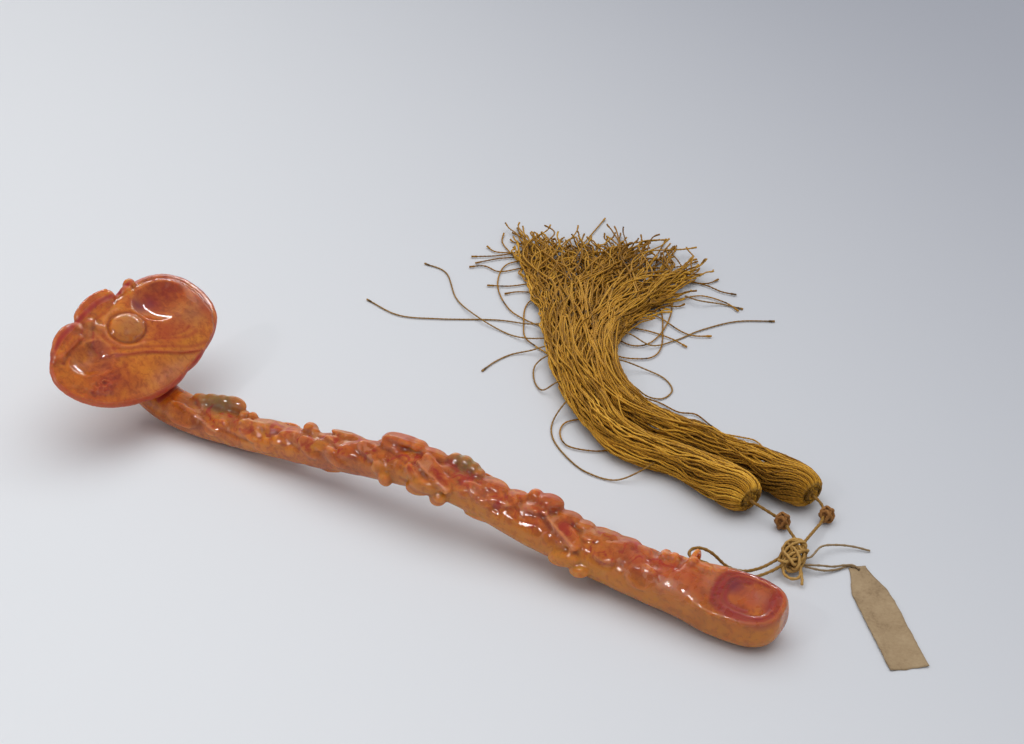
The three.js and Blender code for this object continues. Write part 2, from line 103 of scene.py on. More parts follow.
# %% Values that shaders can be written with
class Value:
    def __init__(self, tree, socket):
        self.tree = tree
        self.socket = socket

    def node(self, kind, settings=None, inputs=None, output=0):
        made = self.tree.nodes.new(kind)
        for name, setting in (settings or {}).items():
            if name == "stops":
                Value.set_stops(made.color_ramp.elements, setting)
            else:
                setattr(made, name, setting)
        for name, value in (inputs or {}).items():
            if isinstance(value, Value):
                self.tree.links.new(value.socket, made.inputs[name])
            else:
                made.inputs[name].default_value = value
        return Value(self.tree, made.outputs[output])

    @staticmethod
    def set_stops(elements, stops):
        while len(elements) < len(stops):
            elements.new(1)
        for element, (place, colour) in zip(elements, stops):
            element.position = place
            element.color = (*colour, 1)

    def math(self, operation, first, second=0.0):
        return self.node("ShaderNodeMath", {"operation": operation}, {0: first, 1: second})

    def __add__(self, other):
        return self.math("ADD", self, other)

    def __radd__(self, other):
        return self.math("ADD", other, self)

    def __sub__(self, other):
        return self.math("SUBTRACT", self, other)

    def __rsub__(self, other):
        return self.math("SUBTRACT", other, self)

    def __mul__(self, other):
        return self.math("MULTIPLY", self, other)

    def __rmul__(self, other):
        return self.math("MULTIPLY", other, self)

    def clamp(self):
        return self.node("ShaderNodeClamp", {}, {"Value": self})

    def step(self, low, high):
        inputs = {"Value": self, "From Min": low, "From Max": high}
        return self.node("ShaderNodeMapRange", {"interpolation_type": "SMOOTHSTEP"}, inputs)

    def ramp(self, stops):
        return self.node("ShaderNodeValToRGB", {"stops": stops}, {"Fac": self})

    def mix(self, first, second):
        settings = {"data_type": "RGBA"}
        pair = [v if isinstance(v, Value) else (*v, 1) for v in (first, second)]
        return self.node("ShaderNodeMix", settings, {0: self, 6: pair[0], 7: pair[1]}, 2)

    def noise(self, scale, detail=3.0, roughness=0.55, distortion=0.0):
        inputs = {"Vector": self, "Scale": scale, "Detail": detail, "Roughness": roughness}
        return self.node("ShaderNodeTexNoise", {}, {**inputs, "Distortion": distortion})

    def stretch(self, scale):
        return self.node("ShaderNodeMapping", {}, {"Vector": self, "Scale": scale})


print("values know", [name for name in vars(Value) if not name.startswith("_")])

# %% [markdown]
# A finish starts from Object coordinates, so that a pattern stays on its piece. What is the same all over
# goes straight onto the shader, and what varies is linked to it.

# %% Starting and setting a finish
def start_finish(name):
    material = bpy.data.materials.new(name)
    material.use_nodes = True
    coordinates = material.node_tree.nodes.new("ShaderNodeTexCoord")
    return material, Value(material.node_tree, coordinates.outputs["Object"])


def set_finish(material, constants, varying):
    shader = material.node_tree.nodes["Principled BSDF"]
    for name, value in constants.items():
        shader.inputs[name].default_value = value
    for name, value in varying.items():
        material.node_tree.links.new(value.socket, shader.inputs[name])


def attribute(place, name):
    return place.node("ShaderNodeAttribute", {"attribute_name": name}, {}, "Fac")


def axis(place, number):
    return place.node("ShaderNodeSeparateXYZ", {}, {0: place}, number)


def bump(place, height, distance, strength=1.0):
    return place.node("ShaderNodeBump", {}, {"Height": height, "Distance": distance, "Strength": strength})


print("finishes can be written")

# %% [markdown]
# ## Rough bodies of the stone
#
# A carver saws the outline first and leaves lumps where the fungi will be. The same order works here:
# closed bodies are put through each other, a voxel remesh joins them into one skin, and the fine carving
# is cut into that skin afterwards. Subdivision surfaces would need a clean cage round every fungus, and a
# remesh needs none.
#
# Most of the shapes follow a line that goes smoothly through a few given points. A curve object could
# draw it, but the carving needs its numbers too, so it is worked out here and read off at even steps.

# %% Lines through points
def smooth_line(points, step):
    """A smooth line through rows of numbers at even steps. The first three numbers of a row are its place."""
    rows = np.array(points, float)
    ends = np.vstack([2 * rows[0] - rows[1], rows, 2 * rows[-1] - rows[-2]])
    share = np.linspace(0, 1, 32, endpoint=False)[:, None]
    stretches = []
    for a, b, c, d in zip(ends, ends[1:], ends[2:], ends[3:]):
        square = (2 * a - 5 * b + 4 * c - d) * share**2
        cube = (3 * b - a - 3 * c + d) * share**3
        stretches.append(b + ((c - a) * share + square + cube) / 2)
    dense = np.vstack([*stretches, rows[-1:]])
    steps = np.linalg.norm(np.diff(dense[:, :3], axis=0), axis=1)
    gone = np.concatenate([[0], np.cumsum(steps)])
    places = np.linspace(0, gone[-1], max(2, round(gone[-1] / step) + 1))
    return np.column_stack([np.interp(places, gone, column) for column in dense.T])


def directions(line):
    """The unit direction of a line at each of its points."""
    along = np.gradient(line, axis=0)
    return along / np.maximum(np.linalg.norm(along, axis=1, keepdims=True), 1e-12)


print("a line of 3 mm has", len(smooth_line([(0, 0, 0), (3, 0, 0)], 1)), "points at steps of 1 mm")

# %% [markdown]
# The rows of the stem are the frame's own stations: its middle line, the width and the height of the
# section, and how square it is. The terminal's top is one facet, tilted towards the near side.

# %% Stations of the stem
STEM = [
    (-149, 0, 30.0, 12, 13, 2), (-140, 0, 20.4, 16, 15.6, 2), (-129.5, 0, 11.8, 17.2, 16.2, 2),
    (-112, 0, 8.2, 16.4, 16, 2), (-82.6, 0, 9.4, 15, 14.2, 2), (-55.3, 0, 12.2, 14.8, 14, 2),
    (-26.8, 0, 17.3, 15.6, 14.8, 2), (4, 0, 21.6, 15.8, 15, 2), (30, 0, 20.3, 15.8, 14.6, 2),
    (53.7, 0, 16, 17.6, 16.4, 2), (78.6, 0, 12.6, 18.4, 17.4, 2), (102.3, 0, 10.9, 20.4, 19.4, 2),
    (122.5, 0, 10.9, 22.4, 21, 2.2), (138, 0, 10.9, 25, 21.6, 3), (149, 0, 10.9, 24.8, 21.6, 3),
    (154, 0, 11, 23.2, 21.2, 2.8), (158, 0, 11.5, 19.8, 19.6, 2.8), (160.6, 0, 12.2, 16, 17, 2.6),
    (162, 0, 12.9, 12.4, 13.8, 2.4), (162.8, 0, 13.4, 8.6, 9.8, 2.2),
]
FACET_TILT = math.radians(18)
FACET_OUT = Vector((0, -math.sin(FACET_TILT), math.cos(FACET_TILT)))
FACET_MIDDLE = Vector((149.4, -0.8, 18.6))
FACET_START = 126
FACET_RUN = 12
FACET_SHARE = 0.9
stem_line = smooth_line(STEM, 1.25)
print("stem", len(stem_line), "sections")

# %% [markdown]
# A bevelled curve would give the stem one section all the way. Here each section is a circle that is
# squared up and sized for its place, and neighbouring sections are bridged. The facet is cut in the same
# pass.

# %% The stem and the terminal
STEM_SIDES = 48
stone = bmesh.new()


def edges_of(verts):
    return list({edge for vert in verts for edge in vert.link_edges})


def ring_on_stem(row, direction, capped):
    """One section of the stem: a circle that is squared up, sized and set square to the middle line."""
    x, y, z, width, height, power = row
    made = bmesh.ops.create_circle(stone, segments=STEM_SIDES, radius=0.5, cap_ends=capped)["verts"]
    for vert in made:
        across, up = vert.co.x * 2, vert.co.y * 2
        vert.co *= (abs(across) ** power + abs(up) ** power) ** (-1 / power)
    ahead = Vector(direction)
    left = Vector((0, 1, 0))
    turn = Matrix((left, ahead.cross(left) * -1, ahead)).transposed().to_4x4()
    size = Matrix.Diagonal((width, height, 1, 1))
    bmesh.ops.transform(stone, matrix=Matrix.Translation((x, y, z)) @ turn @ size, verts=made)
    cut = min(max((x - FACET_START) / FACET_RUN, 0), 1)
    for vert in made:
        above = (vert.co - FACET_MIDDLE).dot(FACET_OUT)
        vert.co -= FACET_OUT * max(above, 0) * FACET_SHARE * cut
    return edges_of(made)


previous_ring = None
stem_ways = directions(stem_line[:, :3])
stem_ways[stem_line[:, 0] > FACET_START] = (1, 0, 0)
for number, (row, way) in enumerate(zip(stem_line, stem_ways)):
    ring = ring_on_stem(row, way, number in (0, len(stem_line) - 1))
    if previous_ring:
        bmesh.ops.bridge_loops(stone, edges=previous_ring + ring)
    previous_ring = ring
print("sections of", STEM_SIDES, "points, faces", len(stone.faces))

# %% [markdown]
# The head is a kidney-shaped cap, tilted 37 degrees. A sphere is pulled out to the outline: each of its
# points keeps its compass direction, the outline says how far out it goes, and the sphere's own height
# becomes the dome above or the belly below. `on_head` turns places on the cap (across, up the slope,
# outward) into the frame.

# %% The cap of the head
HEAD_MIDDLE = np.array([-141, 0, 36])
HEAD_SLOPE = math.radians(37)
HEAD_UP = np.array([-math.cos(HEAD_SLOPE), 0, math.sin(HEAD_SLOPE)])
HEAD_OUT = np.array([math.sin(HEAD_SLOPE), 0, math.cos(HEAD_SLOPE)])
HEAD_ACROSS = np.array([0, 1, 0])
HEAD_OUTLINE = [
    (-3, -26), (10.4, -23.9), (25.7, -20.4), (37.6, -16), (44.6, -11), (48, -4.6), (48.4, 3.4), (45.6, 11.8),
    (39, 18.6), (30.4, 22), (20, 22.6), (8, 21.5), (-4, 22), (-14, 20.5), (-22, 19.2), (-31, 17),
    (-37, 14), (-42, 9.6), (-44.6, 4), (-44.2, -2), (-41.6, -8), (-36.4, -14.4), (-28.2, -19.8), (-17, -23.8),
]
DOME = 5.2
BELLY = 5
RIM_FLATNESS = 0.42
RIM_SHARE = 0.45


def on_head(across, up, out):
    return HEAD_MIDDLE + across * HEAD_ACROSS + up * HEAD_UP + out * HEAD_OUT


outline_angles = np.array([math.atan2(up, across) for across, up in HEAD_OUTLINE])
outline_reach = np.array([math.hypot(across, up) for across, up in HEAD_OUTLINE])
turning_order = np.argsort(outline_angles)


def head_reach(angle):
    return np.interp(angle, outline_angles[turning_order], outline_reach[turning_order], period=math.tau)


cap = bmesh.ops.create_uvsphere(stone, u_segments=120, v_segments=44, radius=1)["verts"]
for vert in cap:
    out = math.hypot(vert.co.x, vert.co.y)
    angle = math.atan2(vert.co.y, vert.co.x)
    reach = head_reach(angle) * out
    height = abs(vert.co.z) ** RIM_FLATNESS * math.copysign(1, vert.co.z)
    thick = (DOME if height > 0 else BELLY) * height * (RIM_SHARE + (1 - RIM_SHARE) * (1 - out**3))
    vert.co = on_head(reach * math.cos(angle), reach * math.sin(angle), thick)
print("cap", len(cap), "points")

# %% [markdown]
# Smaller bodies stand on the cap and on the stem: the boss, the caps of young fungi at the head's back,
# and the leaves and fungi along the stem. Each is a sphere that is squashed, turned and half sunk, and
# one small mesh is copied for all of them.

# %% Bodies on the cap
unit_ball = bpy.data.meshes.new("unit_ball")
ball_maker = bmesh.new()
bmesh.ops.create_uvsphere(ball_maker, u_segments=24, v_segments=12, radius=1)
ball_maker.to_mesh(unit_ball)
ball_maker.free()


def ball(sizes, place, turn):
    """A closed ellipsoid with these half sizes, turned by a 3 by 3 matrix."""
    made = unit_ball.copy()
    made.transform(Matrix.Translation(place) @ turn.to_4x4() @ Matrix.Diagonal((*sizes, 1)))
    stone.from_mesh(made)
    bpy.data.meshes.remove(made)


HEAD_TURN = Matrix((HEAD_ACROSS, HEAD_UP, HEAD_OUT)).transposed()
# across, up, out, half sizes in those directions, and a turn on the cap in degrees
HEAD_BODIES = [
    (-1.0, 5.8, 3.9, 8.6, 6.6, 4.4, -12),
    (-4.5, 21.6, 2.2, 13, 5.4, 3.0, 8), (4, 23, 2.0, 4.6, 3.6, 2.8, 0), (-11.5, 20.4, 2.2, 5.6, 4.6, 3.0, 20),
    (-27, 15.6, 2.0, 10.4, 5.4, 3.2, 22), (-20, 18, 2.0, 4.4, 3.0, 3.0, 10), (-34, 12.4, 1.4, 5, 4, 3.0, 40),
    (18.4, 22.4, 1.8, 2.8, 2.8, 3.2, 0), (14.6, 20.8, 1.6, 3.2, 2.4, 3.0, 0),
    (-14, 15.8, 3.2, 3.4, 2.6, 2.6, 30), (-17.6, 13.4, 3.2, 2.4, 2.2, 2.4, 0),
    (-21.4, 12.4, 3.0, 2.2, 1.8, 2.2, 0), (-25, 13.4, 2.8, 2.0, 1.7, 2.0, 0),
    (-19.4, 9.2, 3.4, 1.7, 1.6, 1.8, 0), (-12, 12.2, 3.6, 1.8, 1.5, 1.8, 0),
]
for across, up, out, wide, long, high, turned in HEAD_BODIES:
    turn = HEAD_TURN @ Matrix.Rotation(math.radians(turned), 3, "Z")
    ball((wide, long, high), on_head(across, up, out), turn)
print("bodies on the cap", len(HEAD_BODIES))

# %% [markdown]
# On the stem a place is given by its distance along it and its angle round it, 0 at the top and positive
# towards the far side. `on_stem` turns the two into a place in the frame and the direction that points
# out of the stone, and `lump` sets a half-sunk body there.

# %% Places on the stem
def stem_at(x):
    """Height of the middle line, width and height of the stem at a distance along it."""
    return [np.interp(x, stem_line[:, 0], stem_line[:, column]) for column in (2, 3, 4)]


def on_stem(x, degrees, lift=0.0):
    """A place on the stem's surface and the direction that points out of it."""
    middle, wide, high = stem_at(x)
    angle = math.radians(degrees)
    out = Vector((0, math.sin(angle), math.cos(angle)))
    reach = 1 / math.hypot(out.y / (wide / 2), out.z / (high / 2))
    return Vector((x, 0, middle)) + out * (reach + lift), out


def lump(x, degrees, length, width, height, twist=0, lift=0.0):
    """A half-sunk body on the stem. Its length runs along the stem, turned by twist degrees."""
    place, out = on_stem(x, degrees, lift)
    ahead = Vector((1, 0, 0))
    side = out.cross(ahead)
    turn = Matrix((ahead, side, out)).transposed() @ Matrix.Rotation(math.radians(twist), 3, "Z")
    ball((length / 2, width / 2, height / 2), place, turn)


print("top of the stem half way", [round(v, 1) for v in on_stem(0, 0)[0]])

# %% [markdown]
# Young fungi and leaves crowd the top of the branch. A scalloped leaf is a row of bodies that overlap,
# and a low relief is one that is almost flat. Sculpting could give the same lumps, but a list can be read
# and changed one by one.

# %% Fungi and leaves along the stem
# distance along the stem, degrees round it, length, width, height, twist, lift
STEM_BODIES = [
    # the olive slab of a leaf behind the neck, and the toothed nub after it
    (-107, 14, 11, 5.4, 6.4, 0, 0.6), (-101, 17, 12, 5, 7.4, 0, 1.5), (-96.4, 20, 10, 4.8, 7.4, 0, 2.3),
    (-90.8, 24, 12, 4.8, 6.4, 0, 3.5), (-84, 16, 5, 6, 4.4, 0, 0), (-79.8, 16, 4.4, 5, 5, 0, 0.3),
    # low reliefs on the near side
    (-112, -60, 20, 10, 2, -8, 0), (-93, -62, 13, 8, 2.4, 24, 0), (-76, -40, 15, 8, 2.6, -22, 0),
    (-66, -75, 14, 7, 2.2, 20, 0), (-68, 6, 18, 8, 2.4, 6, 0), (-58, -36, 13, 7, 2.8, 30, 0),
    # the curled fungus and the long low ridge
    (-49.4, 20, 7, 6.4, 6, 0, 1.0), (-46.4, 10, 5.4, 5, 4.4, 0, 0.4), (-44, -52, 14, 7, 2.6, -24, 0),
    (-29, 22, 20, 5.4, 3.2, 0, 0.2), (-36, -30, 12, 8, 2.4, 20, 0), (-30, -70, 13, 7, 2.4, -18, 0),
    (-24, -38, 12, 7, 2.4, 26, 0), (-15, -26, 14, 7, 2.6, -14, 0),
    # the red oval cap on its foot
    (-3.4, 26, 19.4, 10.4, 5.2, 2, 2.6), (-10, 24, 8, 8, 5, 0, 1.9), (3.4, 25, 8, 8.4, 5, 0, 2.0),
    (-7, 12, 12, 8, 4, 10, 0.6),
    # the small hanging leaf and the hump behind
    (-5, -106, 6, 7, 5, 0, 0.7), (-8.6, -74, 7, 6, 2.6, 0, 0), (11, 26, 13, 8, 5, -4, 0.6),
    # the olive leaf of four lobes
    (20.6, 34, 8, 5, 7, 0, 1.2), (25, 30, 7.4, 5.4, 6.6, 0, 2.2), (29, 27, 6.6, 5.6, 6, 0, 1.6),
    (32.2, 21, 5.4, 6, 5, 0, 0.8),
    # the long leaf with an edge, and the amber leaf in front
    (17, -42, 21, 8, 2.6, -34, 0), (13, -92, 18, 8, 5, 24, 0.4), (20, -112, 9, 6, 6, 30, 0.8),
    (8, -62, 10, 6, 2.6, -30, 0),
    # humps on the top
    (33, -44, 12, 7, 2.4, 12, 0), (40, 8, 14, 9, 4.2, -6, 0.2), (42, -36, 12, 8, 2.2, 26, 0),
    (47, -12, 12, 8, 2.6, -20, 0), (50, 22, 10, 7, 3.4, 0, 0),
    # the red mushroom with a rolled edge and its knob
    (57, 26, 6.6, 5.8, 6.2, 0, 2.4), (63.6, 22, 11.4, 9.6, 6.6, 0, 2.8), (60, 4, 13, 9, 3.6, 0, 0.4),
    # the second edged leaf, and the bumps after it
    (74, -32, 20, 8, 2.6, -28, 0), (72.6, 18, 11, 9, 4.6, 8, 0.8), (80, 16, 8, 7, 4, 0, 0.4),
    (86, 2, 12, 9, 2.6, 20, 0), (90.6, 18, 10, 7, 3.8, 0, 0.2), (95, -30, 15, 9, 2.2, 14, 0),
    (98, 14, 13, 8, 3.2, 0, 0), (109.5, -56, 13, 10, 2, 0, 0), (106, -10, 13, 9, 2.2, -18, 0),
    # the amber lumps below it
    (77, -94, 14, 7, 4.4, 20, 0.3), (84, -106, 9, 6, 5, 24, 0.6),
    # the toothed nub before the lug, and the low wedge in front of it
    (113.4, 18, 4.6, 6, 3.6, 0, 0), (117.2, 18, 4.4, 5, 3.8, 0, 0.1), (124.6, 18, 5, 5, 4.6, 0, 0.4),
    (128.6, 17, 9, 5, 2.8, 0, 0),
    # back and underside
    (-88, 120, 16, 9, 3, 20, 0), (-64, 78, 15, 9, 3, -20, 0), (-60, 150, 14, 9, 2.6, 12, 0),
    (-38, 100, 15, 9, 3, 18, 0), (-14, 76, 14, 9, 3, -16, 0), (-8, 140, 14, 9, 2.8, 20, 0),
    (14, 100, 15, 9, 3, -12, 0), (34, 80, 14, 9, 3, 22, 0), (42, 140, 14, 9, 2.8, -16, 0),
    (62, 98, 15, 10, 3, 12, 0), (84, 82, 14, 10, 3, -18, 0), (96, 124, 15, 10, 2.8, 16, 0),
    (-40, 180, 16, 8, 2.6, 0, 0), (6, 180, 15, 8, 2.6, 0, 0), (36, -150, 14, 8, 2.6, 14, 0),
]
for body in STEM_BODIES:
    lump(*body)
print("bodies on the stem", len(STEM_BODIES))

# %% [markdown]
# The lug is a small ring of stone with its hole along the stem, so the cord goes round an upright bar. A
# circle spun full round makes it.

# %% The lug
LUG_MIDDLE = (122.5, 10.4, 17.5)
LUG_RADIUS = 2.7
LUG_BAR = 2.2
lug_circle = bmesh.ops.create_circle(stone, segments=14, radius=LUG_BAR / 2)["verts"]
lug_place = Matrix.Translation((LUG_MIDDLE[0], LUG_MIDDLE[1] + LUG_RADIUS, LUG_MIDDLE[2]))
bmesh.ops.transform(stone, matrix=lug_place, verts=lug_circle)
bmesh.ops.spin(stone, geom=lug_circle + edges_of(lug_circle), cent=LUG_MIDDLE, axis=(1, 0, 0), angle=math.tau,
               steps=24, use_merge=True, use_duplicate=False)
print("lug of", LUG_BAR, "mm bar")

# %% [markdown]
# Now the bodies become one skin. Boolean unions would keep every edge hard, and they often fail with so
# many bodies. A voxel remesh closes them all in one step, and a little smoothing rounds the joins.

# %% One skin
SKIN_VOXEL = 0.66
bmesh.ops.recalc_face_normals(stone, faces=stone.faces)
carved = link(bpy.data.objects.new("carved_agate", bpy.data.meshes.new("carved_agate")))
stone.to_mesh(carved.data)
stone.free()
remesh = carved.modifiers.new("one skin", "REMESH")
remesh.mode = "VOXEL"
remesh.voxel_size = SKIN_VOXEL
soften = carved.modifiers.new("soften", "SMOOTH")
soften.factor = 0.5
soften.iterations = 3
bpy.context.view_layer.update()
skin = bpy.data.meshes.new_from_object(carved.evaluated_get(bpy.context.evaluated_depsgraph_get()))
carved.modifiers.clear()
carved.data = skin
print("skin", len(skin.vertices), "points,", len(skin.polygons), "faces")

# %% [markdown]
# ## Carving the skin
#
# Now the skin is cut. Three charts lay it out flat: the cap seen along its axis, the stem unrolled along
# its middle line, and the terminal's top seen from above. A drawing on a chart then says what happens to
# the skin below it.

# %% Charts of the skin
UNROLL_RADIUS = 8
CAP_REACH = 50
BRANCH_END = 136
TERMINAL_START = 128


def read_rows(items, field, kind=float, width=3):
    """One field of every point or edge of a mesh, as rows of numbers."""
    values = np.empty(len(items) * width, kind)
    items.foreach_get(field, values)
    return values.reshape(-1, width)


skin_points = read_rows(skin.vertices, "co")
skin_normals = read_rows(skin.vertex_normals, "vector")
from_head = skin_points - HEAD_MIDDLE
head_chart = np.column_stack([from_head @ HEAD_ACROSS, from_head @ HEAD_UP])
head_out = from_head @ HEAD_OUT
faces_out = skin_normals @ HEAD_OUT
on_cap = (np.hypot(*head_chart.T) < CAP_REACH) & (head_out > -7) & (from_head @ HEAD_UP > -30)
on_cap_top = on_cap & (head_out > -1.5) & (faces_out > 0.05)

stem_middle, stem_wide, stem_high = stem_at(skin_points[:, 0])
stem_angle = np.arctan2(skin_points[:, 1], skin_points[:, 2] - stem_middle)
stem_chart = np.column_stack([skin_points[:, 0], stem_angle * UNROLL_RADIUS])
on_branch = ~on_cap & (skin_points[:, 0] < BRANCH_END)
from_facet = skin_points - np.array(FACET_MIDDLE)
facet_out = np.array(FACET_OUT)
facet_side = np.cross(facet_out, (1, 0, 0))
top_chart = np.column_stack([skin_points[:, 0], from_facet @ facet_side])
on_top = (from_facet @ facet_out > -3) & (skin_normals @ facet_out > 0.15)
on_top &= skin_points[:, 0] > TERMINAL_START
# each place to carve is a chart and the points that count on it
CAP = (head_chart, on_cap)
CAP_TOP = (head_chart, on_cap_top)
BRANCH = (stem_chart, on_branch)
TERMINAL_TOP = (top_chart, on_top)
print("points on the cap", on_cap.sum(), "stem", on_branch.sum(), "terminal's top", on_top.sum())

# %% [markdown]
# A stroke is a line on a chart with a width and a height: above zero it leaves a ridge, below zero it
# cuts a groove. A dab is a spot of colour. Every tool adds to one number per point, the way out along the
# normal, and to six values that the finish reads later: the tints red, olive, pale, gold and plum, and
# dull for places with less polish.

# %% Strokes and dabs
raised = np.zeros(len(skin_points))
tints = {name: np.zeros(len(skin_points)) for name in ("red", "olive", "pale", "gold", "plum", "dull")}


def soft_step(values):
    values = np.clip(values, 0, 1)
    return values * values * (3 - 2 * values)


def gap_to(chart, inside, line, reach):
    """The points of a chart that are within reach of a line, and how far off it each one is."""
    low, high = line.min(0) - reach, line.max(0) + reach
    near = np.flatnonzero(inside & (chart > low).all(1) & (chart < high).all(1))
    gap = np.full(len(near), np.inf)
    for spot in line:
        gap = np.minimum(gap, np.hypot(*(chart[near] - spot).T))
    return near, gap


def add(near, share, height, colours):
    raised[near] += share * height
    for name, strength in colours.items():
        tints[name][near] = np.maximum(tints[name][near], share * strength)


def stroke(chart, inside, points, width, height, **colours):
    near, gap = gap_to(chart, inside, smooth_line(points, width / 3), width * 2.4)
    add(near, np.exp(-((gap / width) ** 2)), height, colours)


def dab(chart, inside, middle, radii, **colours):
    """A soft spot of colour."""
    away = np.hypot(*((chart - np.array(middle)) / np.array(radii)).T)
    near = np.flatnonzero(inside & (away < 2.2))
    add(near, np.exp(-(away[near] ** 2)), 0, colours)


print("values for the finish", list(tints))

# %% [markdown]
# Dishes and bowls are round hollows, as a ball-shaped tool leaves them, and a plate raises or sinks what
# lies inside an outline. A curl is only a line, for a stroke to follow.

# %% Dishes, bowls and plates
LIP_SOFTNESS, LIP_DROP = 0.003, 0.0006


def dish(chart, inside, middle, radii, depth, wall=0.45, **colours):
    away = np.hypot(*((chart - np.array(middle)) / np.array(radii)).T)
    near = np.flatnonzero(inside & (away < 1))
    add(near, soft_step((1 - away[near]) / wall), -depth, colours)


def bowl(chart, inside, middle, low_reach, high_reach, depth, **colours):
    """A hollow like the inside of a ball, with a sharp lip and its own reach to either side."""
    offset = chart - np.array(middle)
    away = np.hypot(*(offset / np.where(offset < 0, low_reach, high_reach)).T)
    near = np.flatnonzero(inside & (away < 1.5))
    share = 1 - away[near] ** 2
    add(near, (share + np.sqrt(share**2 + LIP_SOFTNESS)) / 2 - LIP_DROP, -depth, colours)


def plate(chart, inside, outline, height, edge, **colours):
    corners = np.array(outline, float)
    within = np.zeros(len(chart), bool)
    for (x0, y0), (x1, y1) in zip(corners, np.roll(corners, -1, axis=0)):
        crosses = (y0 > chart[:, 1]) != (y1 > chart[:, 1])
        level = (x1 - x0) * (chart[:, 1] - y0) / (y1 - y0 if y1 != y0 else 1e-9) + x0
        within ^= crosses & (chart[:, 0] < level)
    border = smooth_line(np.vstack([corners, corners[:1]]), 0.5)
    near, gap = gap_to(chart, inside, border, edge * 2)
    signed = np.where(within & inside, 1.0, 0.0)
    signed[near] = np.clip(0.5 + np.where(within[near], gap, -gap) / (2 * edge), 0, 1)
    everywhere = np.flatnonzero(signed > 0)
    add(everywhere, soft_step(signed[everywhere]), height, colours)


def curl(middle, start, end, first_angle, turns, flat=1.0):
    """Points of a spiral from one radius to another."""
    share = np.linspace(0, 1, 24)
    angle = math.radians(first_angle) + share * turns * math.tau
    reach = start + (end - start) * share
    return np.column_stack([middle[0] + reach * np.cos(angle), middle[1] + reach * np.sin(angle) * flat])


print("a curl of one turn has", len(curl((0, 0), 1, 2, 0, 1)), "points")

# %% [markdown]
# On the cap the far lobe is a comma that lies over the near one. Its edge runs from the left of the boss,
# under it, and out to the right, with faint growth lines along it. Each comma ends in a hollow with a
# rolled lip on one side.

# %% Carving the cap
FAR_EDGE = [
    (-16, 12), (-19, 7.5), (-18.6, 1), (-12, -3.7), (-3.2, -7.5), (4.9, -12.2), (13.3, -16.9), (24, -20.4),
]
FAR_REST = [
    (36, -15), (42, -8.4), (43, 2), (40, 10.6), (33, 16.6), (24, 19), (10, 19), (-6, 17), (-12, 15),
]
BOSS = (-1.0, 5.8)
FAR_BOWL = (22.9, 9.6)
NEAR_BOWL = (-23, 4.4)
RIM_INSET = 0.965
plate(*CAP_TOP, FAR_EDGE + FAR_REST, 0.7, 0.8)
stroke(*CAP_TOP, FAR_EDGE, 0.8, 0.2, red=0.7)
GROWTH_LINES = [
    [(-16.6, 9), (-16.6, 3.6), (-10.6, -1.2), (-2.0, -5.4), (6.6, -10), (18.6, -16.4), (28, -18)],
    [(-13.8, 8.4), (-13.4, 4.4), (-8.6, 0.4), (0, -3.0), (8.4, -6.6), (19, -11.6), (26, -12)],
    [(8, -4.6), (13, -7.4), (20, -9.0), (25, -8.4)],
]
for line in GROWTH_LINES:
    stroke(*CAP_TOP, line, 0.9, -0.10, red=0.5)
stroke(*CAP_TOP, curl(BOSS, 9.2, 9.2, -30, 1, 0.8), 0.8, -0.7, red=0.35)
# a low ridge arched over the boss; its pale tint is a painted highlight
stroke(*CAP_TOP, curl(BOSS, 11.4, 11.4, 75, 0.55, 0.84), 1.0, 0.4, pale=0.3)
bowl(*CAP_TOP, FAR_BOWL, (15.2, 11.4), (15, 8.5), 4.2)
stroke(*CAP_TOP, [(12, 14), (14, 11), (18, 10), (22, 11), (21.6, 13.2)], 1.6, 0, red=0.7)
bowl(*CAP_TOP, NEAR_BOWL, (12.5, 9.4), (8, 6), 4.0)
stroke(*CAP_TOP, [(-31, 6), (-28, 3.4), (-23, 4), (-21.6, 6.4)], 1.4, 0, pale=0.4)
RIM = [(a * RIM_INSET, b * RIM_INSET) for a, b in HEAD_OUTLINE[16:] + HEAD_OUTLINE[:4]]
stroke(*CAP_TOP, RIM, 1.2, 0.15)
stroke(*CAP_TOP, [(-40, -3), (-34, -11), (-24, -16.6), (-10, -19.6), (2, -19.6)], 1.6, -0.35)
stroke(*CAP_TOP, [(-36, 8), (-31, 10), (-24, 11.2), (-18, 13.4)], 1.0, -0.5, red=0.3)
LEAF_EDGES = [
    [(-16, 18), (-11, 16.6), (-4, 17.2), (3, 18.6), (8, 21)], [(-15, 22.6), (-8, 25.4), (0, 26.4), (6, 25.6)],
    [(-36, 11), (-30, 11.4), (-23, 13), (-18, 16)], [(-36, 15), (-30, 19), (-24, 20.4)],
]
LEAF_VEINS = [
    [(-12, 18.6), (-7, 20.4), (-1, 21.6), (5, 22.4)], [(-8, 18), (-4, 22.6)],
    [(-33, 13.4), (-28, 15.4), (-22, 16.8)],
]
for line in LEAF_EDGES:
    stroke(*CAP_TOP, line, 0.8, 0.4, red=0.6)
for line in LEAF_VEINS:
    stroke(*CAP_TOP, line, 0.8, -0.3, red=0.3)
print("cap carved", np.abs(raised[on_cap]).max().round(2), "mm at most")

# %% [markdown]
# The stone's colour follows its form: its rim and its edges are red, the boss is olive, and the flat
# parts are amber or pale. Vertex painting by hand would do it as well, but spots on the chart can be read
# and moved. The rim and the far lobe's crown are dull too, so that they don't mirror the strip of light
# behind.

